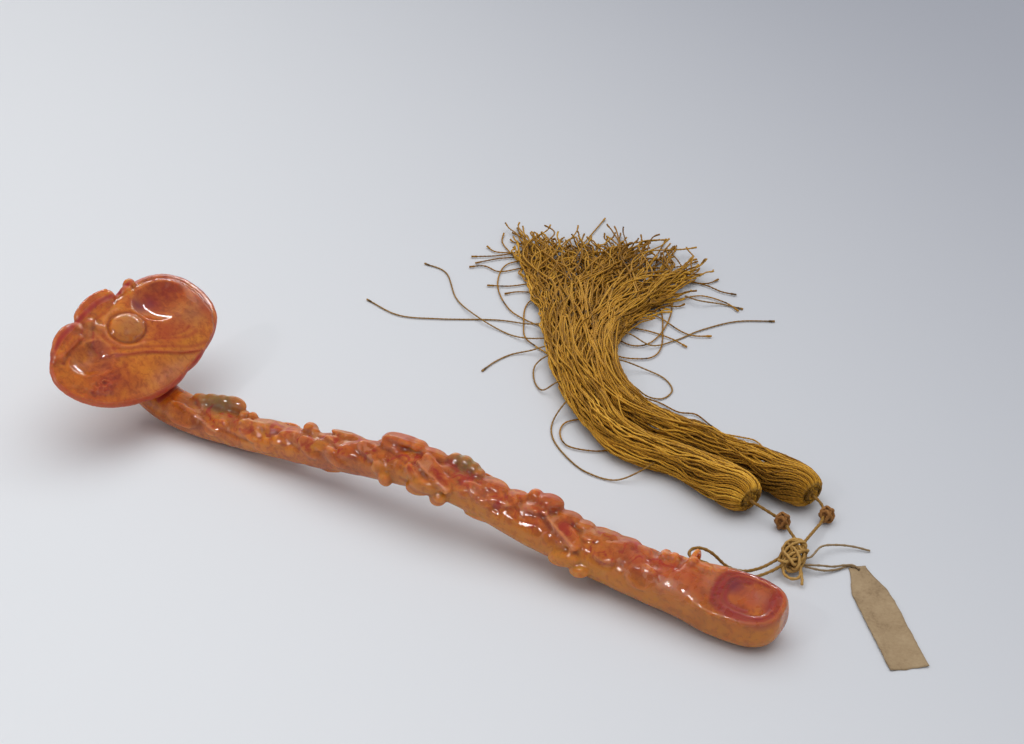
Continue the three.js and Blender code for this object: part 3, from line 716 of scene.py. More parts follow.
# %% Tints on the cap
CLOSED_OUTLINE = HEAD_OUTLINE + HEAD_OUTLINE[:1]
stroke(*CAP, CLOSED_OUTLINE, 1.3, 0, red=1.0)
stroke(*CAP, CLOSED_OUTLINE, 1.9, 0, dull=1.0)
dab(*CAP_TOP, (38, 6), (3.4, 9), dull=1.0)
dab(*CAP_TOP, (13, 12), (4, 4), red=0.6, plum=0.9)
dab(*CAP_TOP, (20, 10.6), (4, 2.4), red=0.6, plum=0.6)
dab(*CAP_TOP, (21, 11), (7, 5), red=0.75)
dab(*CAP_TOP, (14, -5), (10, 5), red=0.5)
dab(*CAP_TOP, (33, 12), (9, 6), red=0.45)
dab(*CAP_TOP, (40, -6), (4, 8), red=0.4)
dab(*CAP_TOP, (-18, 5), (3, 6), red=0.5, pale=0.5)
dab(*CAP_TOP, (-29, -9), (8, 4), red=0.7)
dab(*CAP_TOP, (2, -21), (16, 4), pale=0.5)
dab(*CAP_TOP, (12, -16), (16, 5), gold=0.6)
dab(*CAP_TOP, (-36, 3), (8, 6), gold=0.5)
dab(*CAP_TOP, (30, -4), (9, 6), pale=0.2, olive=0.4)
dab(*CAP_TOP, (-1, 6), (7, 6), pale=0.25, olive=0.55)
dab(*CAP, (-5, 22), (12, 4), red=0.4)
dab(*CAP_TOP, (-16, 14), (6, 4), olive=0.5)
print("tinted points", {name: int((values > 0.1).sum()) for name, values in tints.items()})

# %% [markdown]
# On the stem the strokes are sharp edges of leaves, with a painted highlight along them, and soft grooves,
# mostly on the top and the near side.
# The near flank stays smooth, as on the real stone, where a thumb would lie.

# %% Carving the stem
def unroll(points):
    """Points given as distance and degrees, on the stem's chart."""
    return [(x, math.radians(degrees) * UNROLL_RADIUS) for x, degrees in points]


# width, height, and the line as distance along the stem and degrees round it
LEAF_RIDGES = [
    (0.55, 0.7, [(8, -24), (12, -40), (19, -56), (25, -68)]),
    (0.55, 0.7, [(65, -10), (69, -24), (75, -40), (81, -54)]),
    (0.6, 0.5, [(-104, -44), (-98, -60), (-92, -70)]), (0.6, 0.45, [(-42, 4), (-36, -14), (-30, -34)]),
]
# the pale tint along each leaf ridge is a painted highlight
for width, height, points in LEAF_RIDGES:
    stroke(*BRANCH, unroll(points), width, height, pale=0.9)
STEM_GROOVES = [
    (0.9, -0.7, [(6, -32), (10, -50), (17, -66), (23, -80)]),
    (0.9, -0.7, [(63, -18), (67, -32), (73, -48), (78, -62)]),
    (0.9, -0.4, [(14, -10), (21, -24), (28, -36)]), (0.9, -0.4, [(74, 0), (80, -12), (88, -24)]),
    (0.9, -0.5, [(-108, -8), (-100, -34), (-92, -56), (-84, -70), (-76, -76)]),
    (0.9, -0.5, [(-82, -30), (-74, -46), (-68, -60)]),
    (0.9, -0.5, [(-64, -24), (-56, -44), (-49, -66)]), (0.9, -0.5, [(-42, -8), (-35, -28), (-29, -48)]),
    (0.9, -0.5, [(-26, -22), (-19, -44), (-12, -64)]), (0.9, -0.5, [(-12, -8), (-4, -22), (3, -40)]),
    (0.9, -0.5, [(34, -28), (40, -44), (47, -60)]), (0.9, -0.5, [(46, -8), (51, -22), (57, -40)]),
    (0.9, -0.4, [(88, -20), (95, -34), (101, -48)]), (0.9, -0.4, [(100, 0), (107, -12), (114, -24)]),
    (0.9, -0.4, [(2, -92), (9, -98), (16, -104), (23, -110)]),
    (0.9, -0.4, [(-12, 16), (-5, 14), (2, 12), (6, 16)]),
    (1.8, -0.8, [(109.8, -8), (109.8, 40)]), (1.2, -1.1, [(120.7, -6), (120.7, 24)]),
]
for width, height, points in STEM_GROOVES:
    stroke(*BRANCH, unroll(points), width, height, red=0.3)
print("stem carved with", len(LEAF_RIDGES), "ridges and", len(STEM_GROOVES), "grooves")

# %% [markdown]
# The terminal's top is a sunk panel in squarish rings, like a branch that is cut across. Each ring is a
# low ridge with a groove inside it and a red line on it. Some small pits follow its edge.

# %% Carving the terminal
TERMINAL_MIDDLE = (148.8, -0.6)
SQUARENESS = 2.8
# half length, half width, first angle, turns and how red
TERMINAL_RINGS = [(12.4, 9.8, 0, 1, 0.9), (10.4, 8.2, 60, 0.8, 1.0), (8.2, 6.2, 100, 0.5, 0.9)]
TERMINAL_PITS = [(138.4, -7), (139.6, -8.6), (142, -9.4), (137.2, -5), (159.6, -4), (158.8, 4), (150, 9)]


def squared_ring(long, wide, first=0, turns=1.0):
    """Points of a ring that is between an ellipse and a rectangle, or of a part of it."""
    angle = np.linspace(0, turns, 40) * math.tau + math.radians(first)
    ahead, side = np.cos(angle), np.sin(angle)
    reach = (np.abs(ahead) ** SQUARENESS + np.abs(side) ** SQUARENESS) ** (-1 / SQUARENESS)
    x, y = TERMINAL_MIDDLE
    return np.column_stack([x + long * reach * ahead, y + wide * reach * side])


plate(*TERMINAL_TOP, squared_ring(9.4, 7.4), -0.5, 1.2)
for long, wide, first, turns, red in TERMINAL_RINGS:
    stroke(*TERMINAL_TOP, squared_ring(long, wide, first, turns), 1.0, 0.25)
    stroke(*TERMINAL_TOP, squared_ring(long - 1, wide - 0.9, first, turns), 0.7, -0.25)
    stroke(*TERMINAL_TOP, squared_ring(long, wide, first, turns), 1.3, 0, red=red, plum=red * 0.45)
dab(*TERMINAL_TOP, (142, 2.4), (4, 4), red=0.8, plum=1.0)
dab(*TERMINAL_TOP, (158, 1), (3.4, 7), red=1.0, plum=0.3)
dab(*TERMINAL_TOP, (150, 9), (7, 2.4), red=0.9)
dab(*TERMINAL_TOP, (146, -9), (6, 2.4), red=0.8)
dab(*TERMINAL_TOP, (151, 0), (7, 6), red=0.55)
dab(*TERMINAL_TOP, (152, 0.6), (3.6, 3), pale=0.9)
# a painted reflection: the pale spot at the near end of the top
dab(*TERMINAL_TOP, (134, 0), (4, 5), pale=0.6)
for pit in TERMINAL_PITS:
    dish(*TERMINAL_TOP, pit, (1.0, 0.9), 0.45, 0.9, red=0.5)
print("terminal carved")

# %% [markdown]
# Tool marks and natural unevenness finish the surface: broad noise all over, and finer noise and sharp
# crests where the branch is carved, with almost none on the polished flank, the cap and the terminal. The
# share of carving at each point is kept as `worked`, because the finish is more broken up there too.

# %% Unevenness
FLANK_DEGREES, FLANK_HALF, FLANK_EDGE = -100, 24, 25
CARVED_START, CARVED_END = -114, 128
PITTED_MIDDLE, PITTED_REACH = (-28.6, -9), (7.6, 3.6)


def noise_at(points, size):
    return np.array([noise.noise(Vector(point) / size) for point in points])


def ridges_at(points, size):
    """Noise that is folded over, so that it has sharp crests."""
    return 0.55 - 2 * np.abs(noise_at(points, size))


off_flank = soft_step((np.abs(np.degrees(stem_angle) - FLANK_DEGREES) - FLANK_HALF) / FLANK_EDGE)
worked = np.where(on_branch, off_flank * soft_step((CARVED_END - skin_points[:, 0]) / 14), 0)
worked *= soft_step((skin_points[:, 0] - CARVED_START) / 10)
stem_reach = 0.5 / np.hypot(np.sin(stem_angle) / stem_wide, np.cos(stem_angle) / stem_high)
stands_out = np.hypot(skin_points[:, 1], skin_points[:, 2] - stem_middle) - stem_reach
worked *= 1 - 0.85 * soft_step((stands_out - 1.2) / 1.2)
stretched_points = skin_points * (0.6, 1, 1)
raised += worked * (0.42 * ridges_at(stretched_points, 6.4) + 0.4 * noise_at(stretched_points + 40, 3.2))
pitted = np.exp(-((((head_chart - PITTED_MIDDLE) / PITTED_REACH) ** 2).sum(1))) * on_cap_top
raised += pitted * 0.9 * ridges_at(skin_points, 1.8)
raised += np.where(on_cap, 0.16 * noise_at(skin_points, 15.0), 0.22 * noise_at(skin_points, 9.0))
tints["worked"] = worked
print("carving from", raised.min().round(2), "to", raised.max().round(2), "mm")

# %% [markdown]
# Now the number at each point becomes a real move along the normal, and nothing goes below the table. The
# difference between the skin and a smoothed copy of it tells crevices from crests, and the finish uses it to
# paint shade into the crevices and light onto the crests. A light Smooth modifier takes off the last facets.

# %% The carved skin
LOWEST_STONE = 0.05
SOFTENING_ROUNDS = 6
skin_points += skin_normals * raised[:, None]
skin_points[:, 2] = np.maximum(skin_points[:, 2], LOWEST_STONE)
skin.vertices.foreach_set("co", (skin_points * MM).ravel())
skin.shade_smooth()
skin.update()
edge_ends = read_rows(skin.edges, "vertices", int, 2)
neighbours = np.bincount(edge_ends.ravel(), minlength=len(skin_points))[:, None]


def averaged(places):
    """Each point moved to the middle of its neighbours."""
    total = np.zeros_like(places)
    np.add.at(total, edge_ends[:, 0], places[edge_ends[:, 1]])
    np.add.at(total, edge_ends[:, 1], places[edge_ends[:, 0]])
    return total / neighbours


softened = skin_points
for _ in range(SOFTENING_ROUNDS):
    softened = averaged(softened)
# how deep each point lies in a crevice, for the painted shade and painted highlights of the finish
tints["hollow"] = ((softened - skin_points) * skin_normals).sum(1)
polish = carved.modifiers.new("polish", "SMOOTH")
polish.factor = 0.4
polish.iterations = 1
depths = np.percentile(tints["hollow"], (2, 50, 98)).round(2)
print("carved skin", len(skin.polygons) * 2, "triangles, hollows", depths)

# %% [markdown]
# Last come the tints of the stem: gold below, painted as the glow of light that comes through the stone's
# underside, and spots of olive, red and pale pink on the leaves and caps that have them; one pale spot on the
# near flank before the terminal paints a soft reflection. A handled stone is not equally bright all round:
# its top and back, and patches of the terminal's shoulder, have lost some polish, so they get a dull value.
# All the values are stored on the points, where the finish reads them.

# %% Tints on the stem
TO_TOP_AND_BACK = np.array((0, 0.6, 0.8))
TO_FRONT = np.array((0.1, -0.72, 0.68))
SHOULDER_START = 108


def mark_points(mesh, name, values):
    mesh.attributes.new(name, "FLOAT", "POINT").data.foreach_set("value", values)


faces_top = soft_step((skin_normals @ TO_TOP_AND_BACK - 0.55) / 0.3)
tints["dull"] += np.where(on_branch, faces_top, 0)
faces_front = soft_step((skin_normals @ TO_FRONT - 0.78) / 0.1)
on_shoulder = soft_step((skin_points[:, 0] - SHOULDER_START) / 8)
tints["dull"] += faces_front * on_shoulder * soft_step((noise_at(skin_points, 2.4) + 0.3) / 0.15)
# painted glow: gold on the underside stands for light that comes through the stone
underside_glow = soft_step((-np.degrees(stem_angle) - 45) / 35) * soft_step((skin_points[:, 0] + 30) / 40)
tints["gold"] = np.maximum(tints["gold"], np.where(on_cap, 0, 0.25 + 0.7 * underside_glow))
# how far each tint goes round the stem, and its spots: distance along it, degrees, reach along it, strength
STEM_SPOTS = {
    "olive": (5, [(-98, 16, 13, 1.3), (26, 26, 9, 1.2), (-72, 10, 10, 0.4), (-30, 26, 14, 0.5),
                  (90, 20, 16, 0.5), (14, -100, 10, 0.2), (-42, -20, 9, 0.4)]),
    "red": (5, [(-4, 22, 11, 0.5), (62, 18, 9, 0.5), (20, -38, 12, 0.4), (-22, -20, 12, 0.3),
                (-60, -20, 14, 0.2), (44, -24, 16, 0.4), (76, -30, 10, 0.4), (96, -24, 14, 0.3),
                (10, 16, 7, 0.3), (-86, -10, 10, 0.2), (60, -20, 12, 0.35), (104, 0, 18, 0.5),
                (122, -20, 14, 0.55), (84, 10, 12, 0.3), (112, -24, 14, 0.6)]),
    # pale at 122 mm and -56 degrees is a painted reflection on the ridge before the terminal
    "pale": (3, [(-52, -30, 6, 0.4), (10, -30, 5, 0.5), (36, -40, 9, 0.4), (122, -56, 9, 0.4),
                 (-80, -40, 6, 0.3), (104, -20, 9, 0.25)]),
}
for tint, (width, spots) in STEM_SPOTS.items():
    for x, degrees, reach, strength in spots:
        dab(*BRANCH, unroll([(x, degrees)])[0], (reach, width), **{tint: strength})
for name, values in tints.items():
    mark_points(skin, name, values)
print("tinted points", {name: int((values > 0.1).sum()) for name, values in tints.items()})

# %% [markdown]
# ## Carnelian
#
# Carnelian is translucent: light goes in, is scattered and comes out orange. Subsurface scattering does that,
# under a polished surface. The colour changes slowly through the stone from amber to red, with clouds and
# thin threads, so it is a sum of noise at three sizes and the painted tints. Crevices get painted shade and
# thin crests a painted highlight, both from the skin's own hollows. The light's reach into the stone is the
# same all over.

# %% Colours of the stone
AMBER = (0.66, 0.215, 0.016)
ORANGE = (0.50, 0.115, 0.012)
RUSSET = (0.28, 0.046, 0.010)
DEEP_RED = (0.36, 0.014, 0.014)
OLIVE = (0.26, 0.150, 0.045)
GOLD = (0.61, 0.225, 0.012)
PALE_PINK = (0.62, 0.27, 0.14)
PLUM = (0.19, 0.030, 0.050)
CREVICE_SHADE = (0.24, 0.030, 0.010)
CREST_HIGHLIGHT = (0.78, 0.36, 0.09)
print("the body goes from", RUSSET, "through", ORANGE, "to", AMBER)

# %% [markdown]
# The clouds choose the colour of the body first. Each tint is then laid over it, stronger where the
# clouds are light, so that no spot has a clean edge. Threads, grains and patches break it up further.
# Dull places are rougher, and a weak bump stands for the last unevenness of the polish.

# %% Finish of the stone
agate, place = start_finish("carnelian_agate")
clouds = place.noise(38, 4, 0.55, 0.6)
fine_clouds = place.noise(150, 4, 0.6, 0.4)
threads = (place.stretch((1, 3, 3)).noise(110, 5, 0.62, 2.2) - 0.5)
threads = 1 - threads.math("ABSOLUTE", threads).step(0.0, 0.035)
grains = place.noise(420, 3, 0.6, 0.5)
body = (clouds * 0.5 + fine_clouds * 0.3 + grains * 0.2).ramp([(0.38, RUSSET), (0.48, ORANGE), (0.58, AMBER)])
red = (attribute(place, "red") * (fine_clouds * 1.2 + 0.35)).clamp()
olive = (attribute(place, "olive") * (fine_clouds * 0.8 + 0.5)).clamp()
pale = (attribute(place, "pale") * (fine_clouds * 1.0 + 0.4)).clamp()
gold = (attribute(place, "gold") * (clouds * 1.0 + 0.3)).clamp()
colour = gold.mix(body, GOLD)
colour = olive.mix(colour, OLIVE)
colour = pale.mix(colour, PALE_PINK)
colour = red.mix(colour, DEEP_RED)
colour = (attribute(place, "plum") * 0.8).mix(colour, PLUM)
colour = (threads * 0.16 * clouds).mix(colour, RUSSET)
colour = ((0 - grains).step(-0.50, -0.36) * 0.28).mix(colour, RUSSET)
patches = place.noise(190, 3, 0.5, 0.8)
carved_part = attribute(place, "worked")
colour = (patches.step(0.53, 0.64) * carved_part * 0.7).mix(colour, DEEP_RED)
colour = ((0 - patches).step(-0.44, -0.34) * carved_part * 0.55).mix(colour, PALE_PINK)
hollows = attribute(place, "hollow")
# painted shade in the crevices and a painted highlight on the crests
colour = (hollows.step(0.03, 0.35) * 0.4).mix(colour, CREVICE_SHADE)
colour = ((0 - hollows).step(0.06, 0.40) * 0.3).mix(colour, CREST_HIGHLIGHT)
gloss = fine_clouds.step(0.3, 0.75) * 0.05 + 0.03 + attribute(place, "dull") * 0.42
ripples = place.noise(420, 3, 0.5) * 0.6 + place.noise(1500, 2, 0.5) * 0.06
set_finish(
    agate,
    {"Subsurface Weight": 1.0, "Subsurface Radius": (1.0, 0.28, 0.06), "Subsurface Scale": 0.0042,
     "IOR": 1.54},
    {"Base Color": colour, "Roughness": gloss, "Normal": bump(place, ripples, 0.0002, 0.25)},
)
skin.materials.clear()
skin.materials.append(agate)
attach(carved, "scepter")
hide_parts("scepter_stone")
print("stone finished")

# %% [markdown]
# ## Silk strands
#
# Every cord and strand here is two plies twisted together. Its section is not a circle but a waisted
# hexagon that turns along the way, so the twist is real geometry at a few faces a step.

# %% Section of a strand
SECTION_REACH = (0.5, 0.42, 0.42)
IN_GROOVE = (0.0, 1.0, 1.0)
SECTION_POINTS = 2 * len(SECTION_REACH)
section_curve = bpy.data.curves.new("strand_section", "CURVE")
section_spline = section_curve.splines.new("POLY")
section_spline.points.add(SECTION_POINTS - 1)
section_spline.use_cyclic_u = True
for number, point in enumerate(section_spline.points):
    angle = math.tau * number / SECTION_POINTS
    reach = SECTION_REACH[number % len(SECTION_REACH)]
    point.co = (reach * math.cos(angle), reach * math.sin(angle), 0, 1)
section = bpy.data.objects.new("strand_section", section_curve)
print("section of a strand has", SECTION_POINTS, "points")

# %% [markdown]
# One curve object holds many strands, each a spline with its own tilt, and the section is swept along all
# of them at once. Points come out strand by strand and ring by ring, so each point can carry the strand's
# tone, how near its cut end is, and whether it lies in the groove between the plies.

# %% Sweeping strands
TIP_LENGTH = 2.8 * MM
TURN_WITH_TONE = 40


def length_of(line):
    return float(np.linalg.norm(np.diff(line, axis=0), axis=1).sum())


def sweep(name, lines, diameter, pitch, tones, tip_size=1.0):
    """A mesh of twisted strands along lines in metres, each with a tone from 0, dark, to 1, light."""
    curve = bpy.data.curves.new(name, "CURVE")
    curve.dimensions = "3D"
    curve.bevel_mode = "OBJECT"
    curve.bevel_object = section
    curve.use_fill_caps = True
    for line, tone in zip(lines, tones):
        spline = curve.splines.new("POLY")
        spline.points.add(len(line) - 1)
        steps = np.linalg.norm(np.diff(line, axis=0), axis=1)
        gone = np.concatenate([[0], np.cumsum(steps)])
        size = np.full(len(line), diameter)
        size[gone > gone[-1] - TIP_LENGTH] *= tip_size
        spline.points.foreach_set("co", np.column_stack([line, np.ones(len(line))]).ravel())
        spline.points.foreach_set("tilt", gone / pitch * math.tau + tone * TURN_WITH_TONE)
        spline.points.foreach_set("radius", size)
    holder = link(bpy.data.objects.new(name, curve))
    link(section)
    swept = holder.evaluated_get(bpy.context.evaluated_depsgraph_get())
    mesh = bpy.data.meshes.new_from_object(swept)
    scene.collection.objects.unlink(section)
    bpy.data.objects.remove(holder)
    made = link(bpy.data.objects.new(name, mesh))
    made.data.name = name
    counts = [len(line) * SECTION_POINTS for line in lines]
    tip = np.zeros(sum(counts))
    if tip_size != 1:
        to_end = [length_of(line) * (1 - np.linspace(0, 1, len(line))) for line in lines]
        tip = np.exp(-((np.repeat(np.concatenate(to_end), SECTION_POINTS) / TIP_LENGTH) ** 2))
    groove = np.tile(IN_GROOVE, sum(counts) // len(IN_GROOVE))
    marks = {"tone": np.repeat(tones, counts), "tip": tip, "groove": groove}
    for mark, values in marks.items():
        mark_points(made.data, mark, np.resize(values, len(made.data.vertices)))
    made.data.shade_smooth()
    return made


def swept_piece(name, body, finish, lines, diameter, pitch, tones, tip_size=1.0):
    """Swept strands with their finish, on their body. Diameter and pitch are in millimetres."""
    piece = sweep(name, lines, diameter * MM, pitch * MM, tones, tip_size)
    piece.data.materials.append(finish)
    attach(piece, body)
    return piece


print("cut ends open over", round(TIP_LENGTH / MM, 1), "mm")

# %% [markdown]
# Old silk in a golden ochre. Painted shade darkens the grooves between the plies, the strands that lie deep
# and the fan's far end, so the outside looks lighter, and the cut ends are greyish. Its gloss is soft,
# because the fibres scatter light along the twist: a sheen on a rough base. The same sum, with other colours,
# serves the strands, the knots and the paper string.

# %% Finishes of silk and paper string
def twisted_finish(name, dark, middle, light, end, sheen):
    finish, place = start_finish(name)
    tone = attribute(place, "tone")
    fibres = place.noise(2600, 3, 0.6)
    patches = place.noise(55, 3, 0.5)
    # painted shade in the groove between the plies
    shade = tone * 0.62 + patches * 0.34 + fibres * 0.22 - attribute(place, "groove") * 0.16
    colour = shade.ramp([(0.12, dark), (0.46, middle), (0.86, light)])
    # painted shade, darker towards the fan's far end, where loose strands shade each other
    colour = (axis(place, 1).step(0.15, 0.26) * 0.36).mix(colour, dark)
    colour = (attribute(place, "tip") * 0.9).mix(colour, end)
    set_finish(
        finish,
        {"Sheen Weight": sheen, "Sheen Roughness": 0.4, "Sheen Tint": (1, 0.86, 0.6, 1), "IOR": 1.45,
         "Specular IOR Level": 0.12},
        {"Base Color": colour, "Roughness": fibres * 0.25 + 0.42, "Normal": bump(place, fibres, 0.0001, 0.6)},
    )
    return finish


# colours of the dark, middle and light strands and of the cut ends, and the sheen
TWISTED_FINISHES = {
    "ochre_silk": (
        (0.11, 0.044, 0.005), (0.48, 0.225, 0.018), (0.86, 0.48, 0.060),
        (0.085, 0.052, 0.026), 0.1,
    ),
    "cord_silk": (
        (0.10, 0.050, 0.012), (0.33, 0.175, 0.040), (0.58, 0.35, 0.11),
        (0.10, 0.060, 0.025), 0.1,
    ),
    "brown_silk": (
        (0.095, 0.038, 0.013), (0.29, 0.125, 0.036), (0.52, 0.26, 0.085),
        (0.10, 0.050, 0.018), 0.1,
    ),
    "string_paper": (
        (0.11, 0.065, 0.030), (0.25, 0.165, 0.085), (0.42, 0.31, 0.18),
        (0.12, 0.075, 0.04), 0.05,
    ),
}
twisted = {name: twisted_finish(name, *colours) for name, colours in TWISTED_FINISHES.items()}
print("finishes", list(twisted))

# %% [markdown]
# ## The tassels' layout
#
# A tassel is a skein of strands folded over its cord. The frame gives its stations: where its middle line
# goes and how wide and high the bundle is there, narrow at the waist and flat and wide at the fan. All
# places in this part are in millimetres from the upright bar of the lug.

# %% Stations of the tassels
HANGING = np.array([122.5, 13.1, 0])
SKEIN_GAP = 0.15
HEAD_SIZE = (20, 16.6)
WAIST_SIZE = (15.2, 13.6)
# middle line, width and height of each bundle
NEAR_STATIONS = [
    (-1.5, 53, *HEAD_SIZE), (-10.5, 57.2, *HEAD_SIZE), (-22.5, 61.2, 18, 16.4), (-38.5, 64.6, *WAIST_SIZE),
    (-56.5, 65.2, *WAIST_SIZE), (-71.5, 69.6, *WAIST_SIZE), (-86.5, 80.4, *WAIST_SIZE),
    (-103, 94.4, *WAIST_SIZE),
    (-116.5, 109.4, 15.6, 13), (-129.5, 130, 18, 11), (-144.5, 155, 25, 9), (-160.5, 179, 39, 7),
    (-175, 206, 53, 5.4), (-186, 232, 62, 4),
]
FAR_STATIONS = [
    (18.5, 69, *HEAD_SIZE), (8, 73.4, *HEAD_SIZE), (-6.5, 77.4, 17, 16.2), (-22.5, 81.4, *WAIST_SIZE),
    (-36.5, 83.6, *WAIST_SIZE), (-52.5, 84.2, *WAIST_SIZE), (-69.5, 88.2, *WAIST_SIZE),
    (-83.5, 97.6, *WAIST_SIZE),
    (-96.5, 110.4, *WAIST_SIZE), (-107, 127.4, 15.6, 13), (-113.5, 145, 19, 11), (-116.5, 165, 26, 9),
    (-117.5, 187, 42, 7), (-115.5, 214, 58, 5.4), (-112, 241, 70, 4),
]
STATIONS = {"near": NEAR_STATIONS, "far": FAR_STATIONS}


def placed(points):
    """Points from the lug's bar in millimetres, as places in the frame in metres."""
    return (np.array(points, float) + HANGING) * MM


def station_rows(which):
    """A tassel's stations with the height of the middle line, which lies on the table."""
    return [(x, y, high / 2 + SKEIN_GAP, wide, high) for x, y, wide, high in STATIONS[which]]


def bundle(which):
    """The bundle at every millimetre: its rows, and its directions ahead, to the left and up."""
    rows = smooth_line(station_rows(which), 1)
    ways = directions(rows[:, :3])
    left = np.cross((0, 0, 1), ways)
    left /= np.linalg.norm(left, axis=1, keepdims=True)
    return rows, ways, left, np.cross(ways, left)


bundles = {which: bundle(which) for which in STATIONS}
print("tassels", {name: f"{len(rows)} mm long" for name, (rows, *_) in bundles.items()})

# %% [markdown]
# A place in a bundle is a depth along it and two shares, of its half width and its half height. At the
# fan the strands spread wider than the frame's plain solid, and the far tassel pulls in on its right.

# %% Places in a bundle
STRAND = 0.92
STRAND_STEP = 0.84
STRAND_PITCH = 4.3
LOWEST = STRAND / 2 + 0.08
# how far in from the mouth, and the share of the way out to the strand's own layer
FOLD_STATIONS = [
    (10, 0.14), (6, 0.14), (2.6, 0.15), (0.5, 0.22), (0.0, 0.36), (0.8, 0.58), (3.2, 0.84), (9, 1),
]
FOLD = smooth_line(FOLD_STATIONS, STRAND_STEP)
# share of the way out of each layer, and its number of strands
LAYERS = [(1.0, 54), (0.87, 44), (0.7, 30), (0.48, 16)]
# shares along the bundle, and how much wider than the frame's the strands lie there, to the left and right
SPREAD = {
    "near": ([(0.12, 1), (0.42, 1.1), (0.55, 1.1), (0.75, 0.84)], [(0.12, 1), (0.42, 1.34)]),
    "far": ([(0.12, 1), (0.42, 1.36)], [(0.46, 1), (0.66, 0.58)]),
}
SHORTER_TO_THE_RIGHT = {"near": 0, "far": 0.17}


def in_bundle(which, depth, across, up):
    """Places at depths along a bundle, with shares of its half width to the left and its half height up."""
    rows, ways, left, upward = bundles[which]
    at = np.clip(depth, 0, len(rows) - 1)
    here = np.arange(len(rows))

    def read(table):
        return np.column_stack([np.interp(at, here, column) for column in table.T])

    middle, way, to_left, to_up = read(rows), read(ways), read(left), read(upward)
    beyond = (depth - at)[:, None] * way
    to_the_left, to_the_right = [np.interp(depth / len(rows), *zip(*table)) for table in SPREAD[which]]
    spread = np.where(across > 0, to_the_left, to_the_right)
    wide = ((middle[:, 3] - STRAND) / 2 * across * spread)[:, None]
    high = (middle[:, 4] - STRAND)[:, None] / 2 * up[:, None]
    return middle[:, :3] + beyond + to_left * wide + to_up * high


print("layers of strands", LAYERS)

# %% [markdown]
# A skein that is never combed lies in a few locks, whose strands wander together. Sums of two sines give
# slow waves for the locks and for single strands. The draws are seeded, so every run gives the same
# tassel.

# %% Waves and locks
LOCKS = 9


def wave(draw, along, longest, shortest):
    """A gentle random wave between about -1 and 1."""
    total = np.zeros(len(along))
    for length in (draw.uniform(shortest, longest), draw.uniform(shortest, longest) * 0.6):
        total += np.sin(along / length * math.tau + draw.uniform(0, math.tau)) * 0.5
    return total


def lock_waves(which, draw):
    """The slow waves that the strands of one lock share, for its turn and its reach, at every millimetre."""
    along = np.arange(len(bundles[which][0]) + 12.0)
    return [(wave(draw, along, 150, 60), wave(draw, along, 120, 45)) for _ in range(LOCKS)]


print("locks in a tassel", LOCKS)

# %% [markdown]
# Each strand keeps its own place in the bundle's section, with a slow drift and a wave that grows towards
# the free end. Its first stretch comes up out of the hole in the tassel's head and folds over the rounded
# end. Near the free end it leaves the bundle's order and goes its own way.

# %% One strand of a bundle
SWIRL = math.radians(46)
SPIRAL = math.radians(24)
FULL_LENGTH = 0.965
ASTRAY = 26


def bundle_strand(which, draw, layer, angle, lock):
    full = len(bundles[which][0])
    shorter = SHORTER_TO_THE_RIGHT[which] * max(0, -math.cos(angle)) * layer
    last = full * (FULL_LENGTH - shorter - abs(draw.gauss(0, 0.05))) + draw.uniform(-3, 6)
    depth = np.concatenate([FOLD[:-1, 0], np.arange(FOLD[-1, 0], last, STRAND_STEP)])
    share = np.concatenate([FOLD[:-1, 1], np.ones(len(depth) - len(FOLD) + 1)])
    free = soft_step((depth - full * 0.42) / (full * 0.5))
    loose = soft_step((depth - 6) / 26)
    lock_turn, lock_reach = [np.interp(depth, np.arange(len(values)), values) for values in lock]
    # the angle round the bundle: a slow spiral, the strand's and its lock's drift, and the swirl at the mouth
    turn = angle + SPIRAL * depth / full + wave(draw, depth, 110, 34) * (0.14 + 0.08 * free) * loose
    turn += lock_turn * 0.22 * loose + wave(draw, depth, 40, 20) * 0.09 * soft_step(depth / 14)
    turn += SWIRL * (1 - soft_step(depth / 22))
    # the way out from the bundle's middle
    reach = 1 + (wave(draw, depth, 90, 30) * (0.06 + 0.05 * free) + lock_reach * 0.11) * loose * share
    reach *= layer * share
    line = in_bundle(which, depth, reach * np.cos(turn), reach * np.sin(turn))
    for way in range(3):
        line[:, way] += wave(draw, depth, 16, 9) * (0.2 + 0.35 * free) * loose
    astray = np.clip(depth - (last - ASTRAY), 0, None) / ASTRAY
    line[:, 0] += astray**2 * draw.gauss(0, 4)
    line[:, 1] += astray**2 * draw.gauss(0, 4)
    line[:, 2] += astray**2 * draw.uniform(-1, 4) + free * wave(draw, depth, 80, 40) * 0.7
    line[:, 2] = np.maximum(line[:, 2], LOWEST + 0.25 * (1 + wave(draw, depth, 40, 20)))
    return line


print("a strand goes its own way over the last", ASTRAY, "mm")

# %% [markdown]
# The strands lie in four layers. The inner ones get painted shade, and so do those that face the other
# tassel, deep between the two. Hair would fill a bundle as well, but these strands are thick enough to be
# seen one by one, so each is a line of its own.

# %% Strands of the bundles
# which way the other tassel lies, and how much painted shade darkens the silk on that side
TOWARDS_THE_OTHER = {"near": -1, "far": 1}
SHADE_BETWEEN = 0.5


def tassel_lines(which, seed):
    draw = random.Random(seed)
    lines, tones = [], []
    locks = lock_waves(which, draw)
    for layer, count in LAYERS:
        for number in range(count):
            angle = math.tau * (number + draw.uniform(-0.25, 0.25)) / count
            lock = locks[int(number * LOCKS / count)]
            lines.append(bundle_strand(which, draw, layer * draw.uniform(0.95, 1.0), angle, lock))
            between = max(0, TOWARDS_THE_OTHER[which] * math.cos(angle))
            # a random tone, lowered as painted shade on the inner layers and on the side facing the other
            # tassel
            tones.append(draw.uniform(0.1, 1.0) * (0.5 + 0.5 * layer) * (1 - SHADE_BETWEEN * between))
    return lines, tones


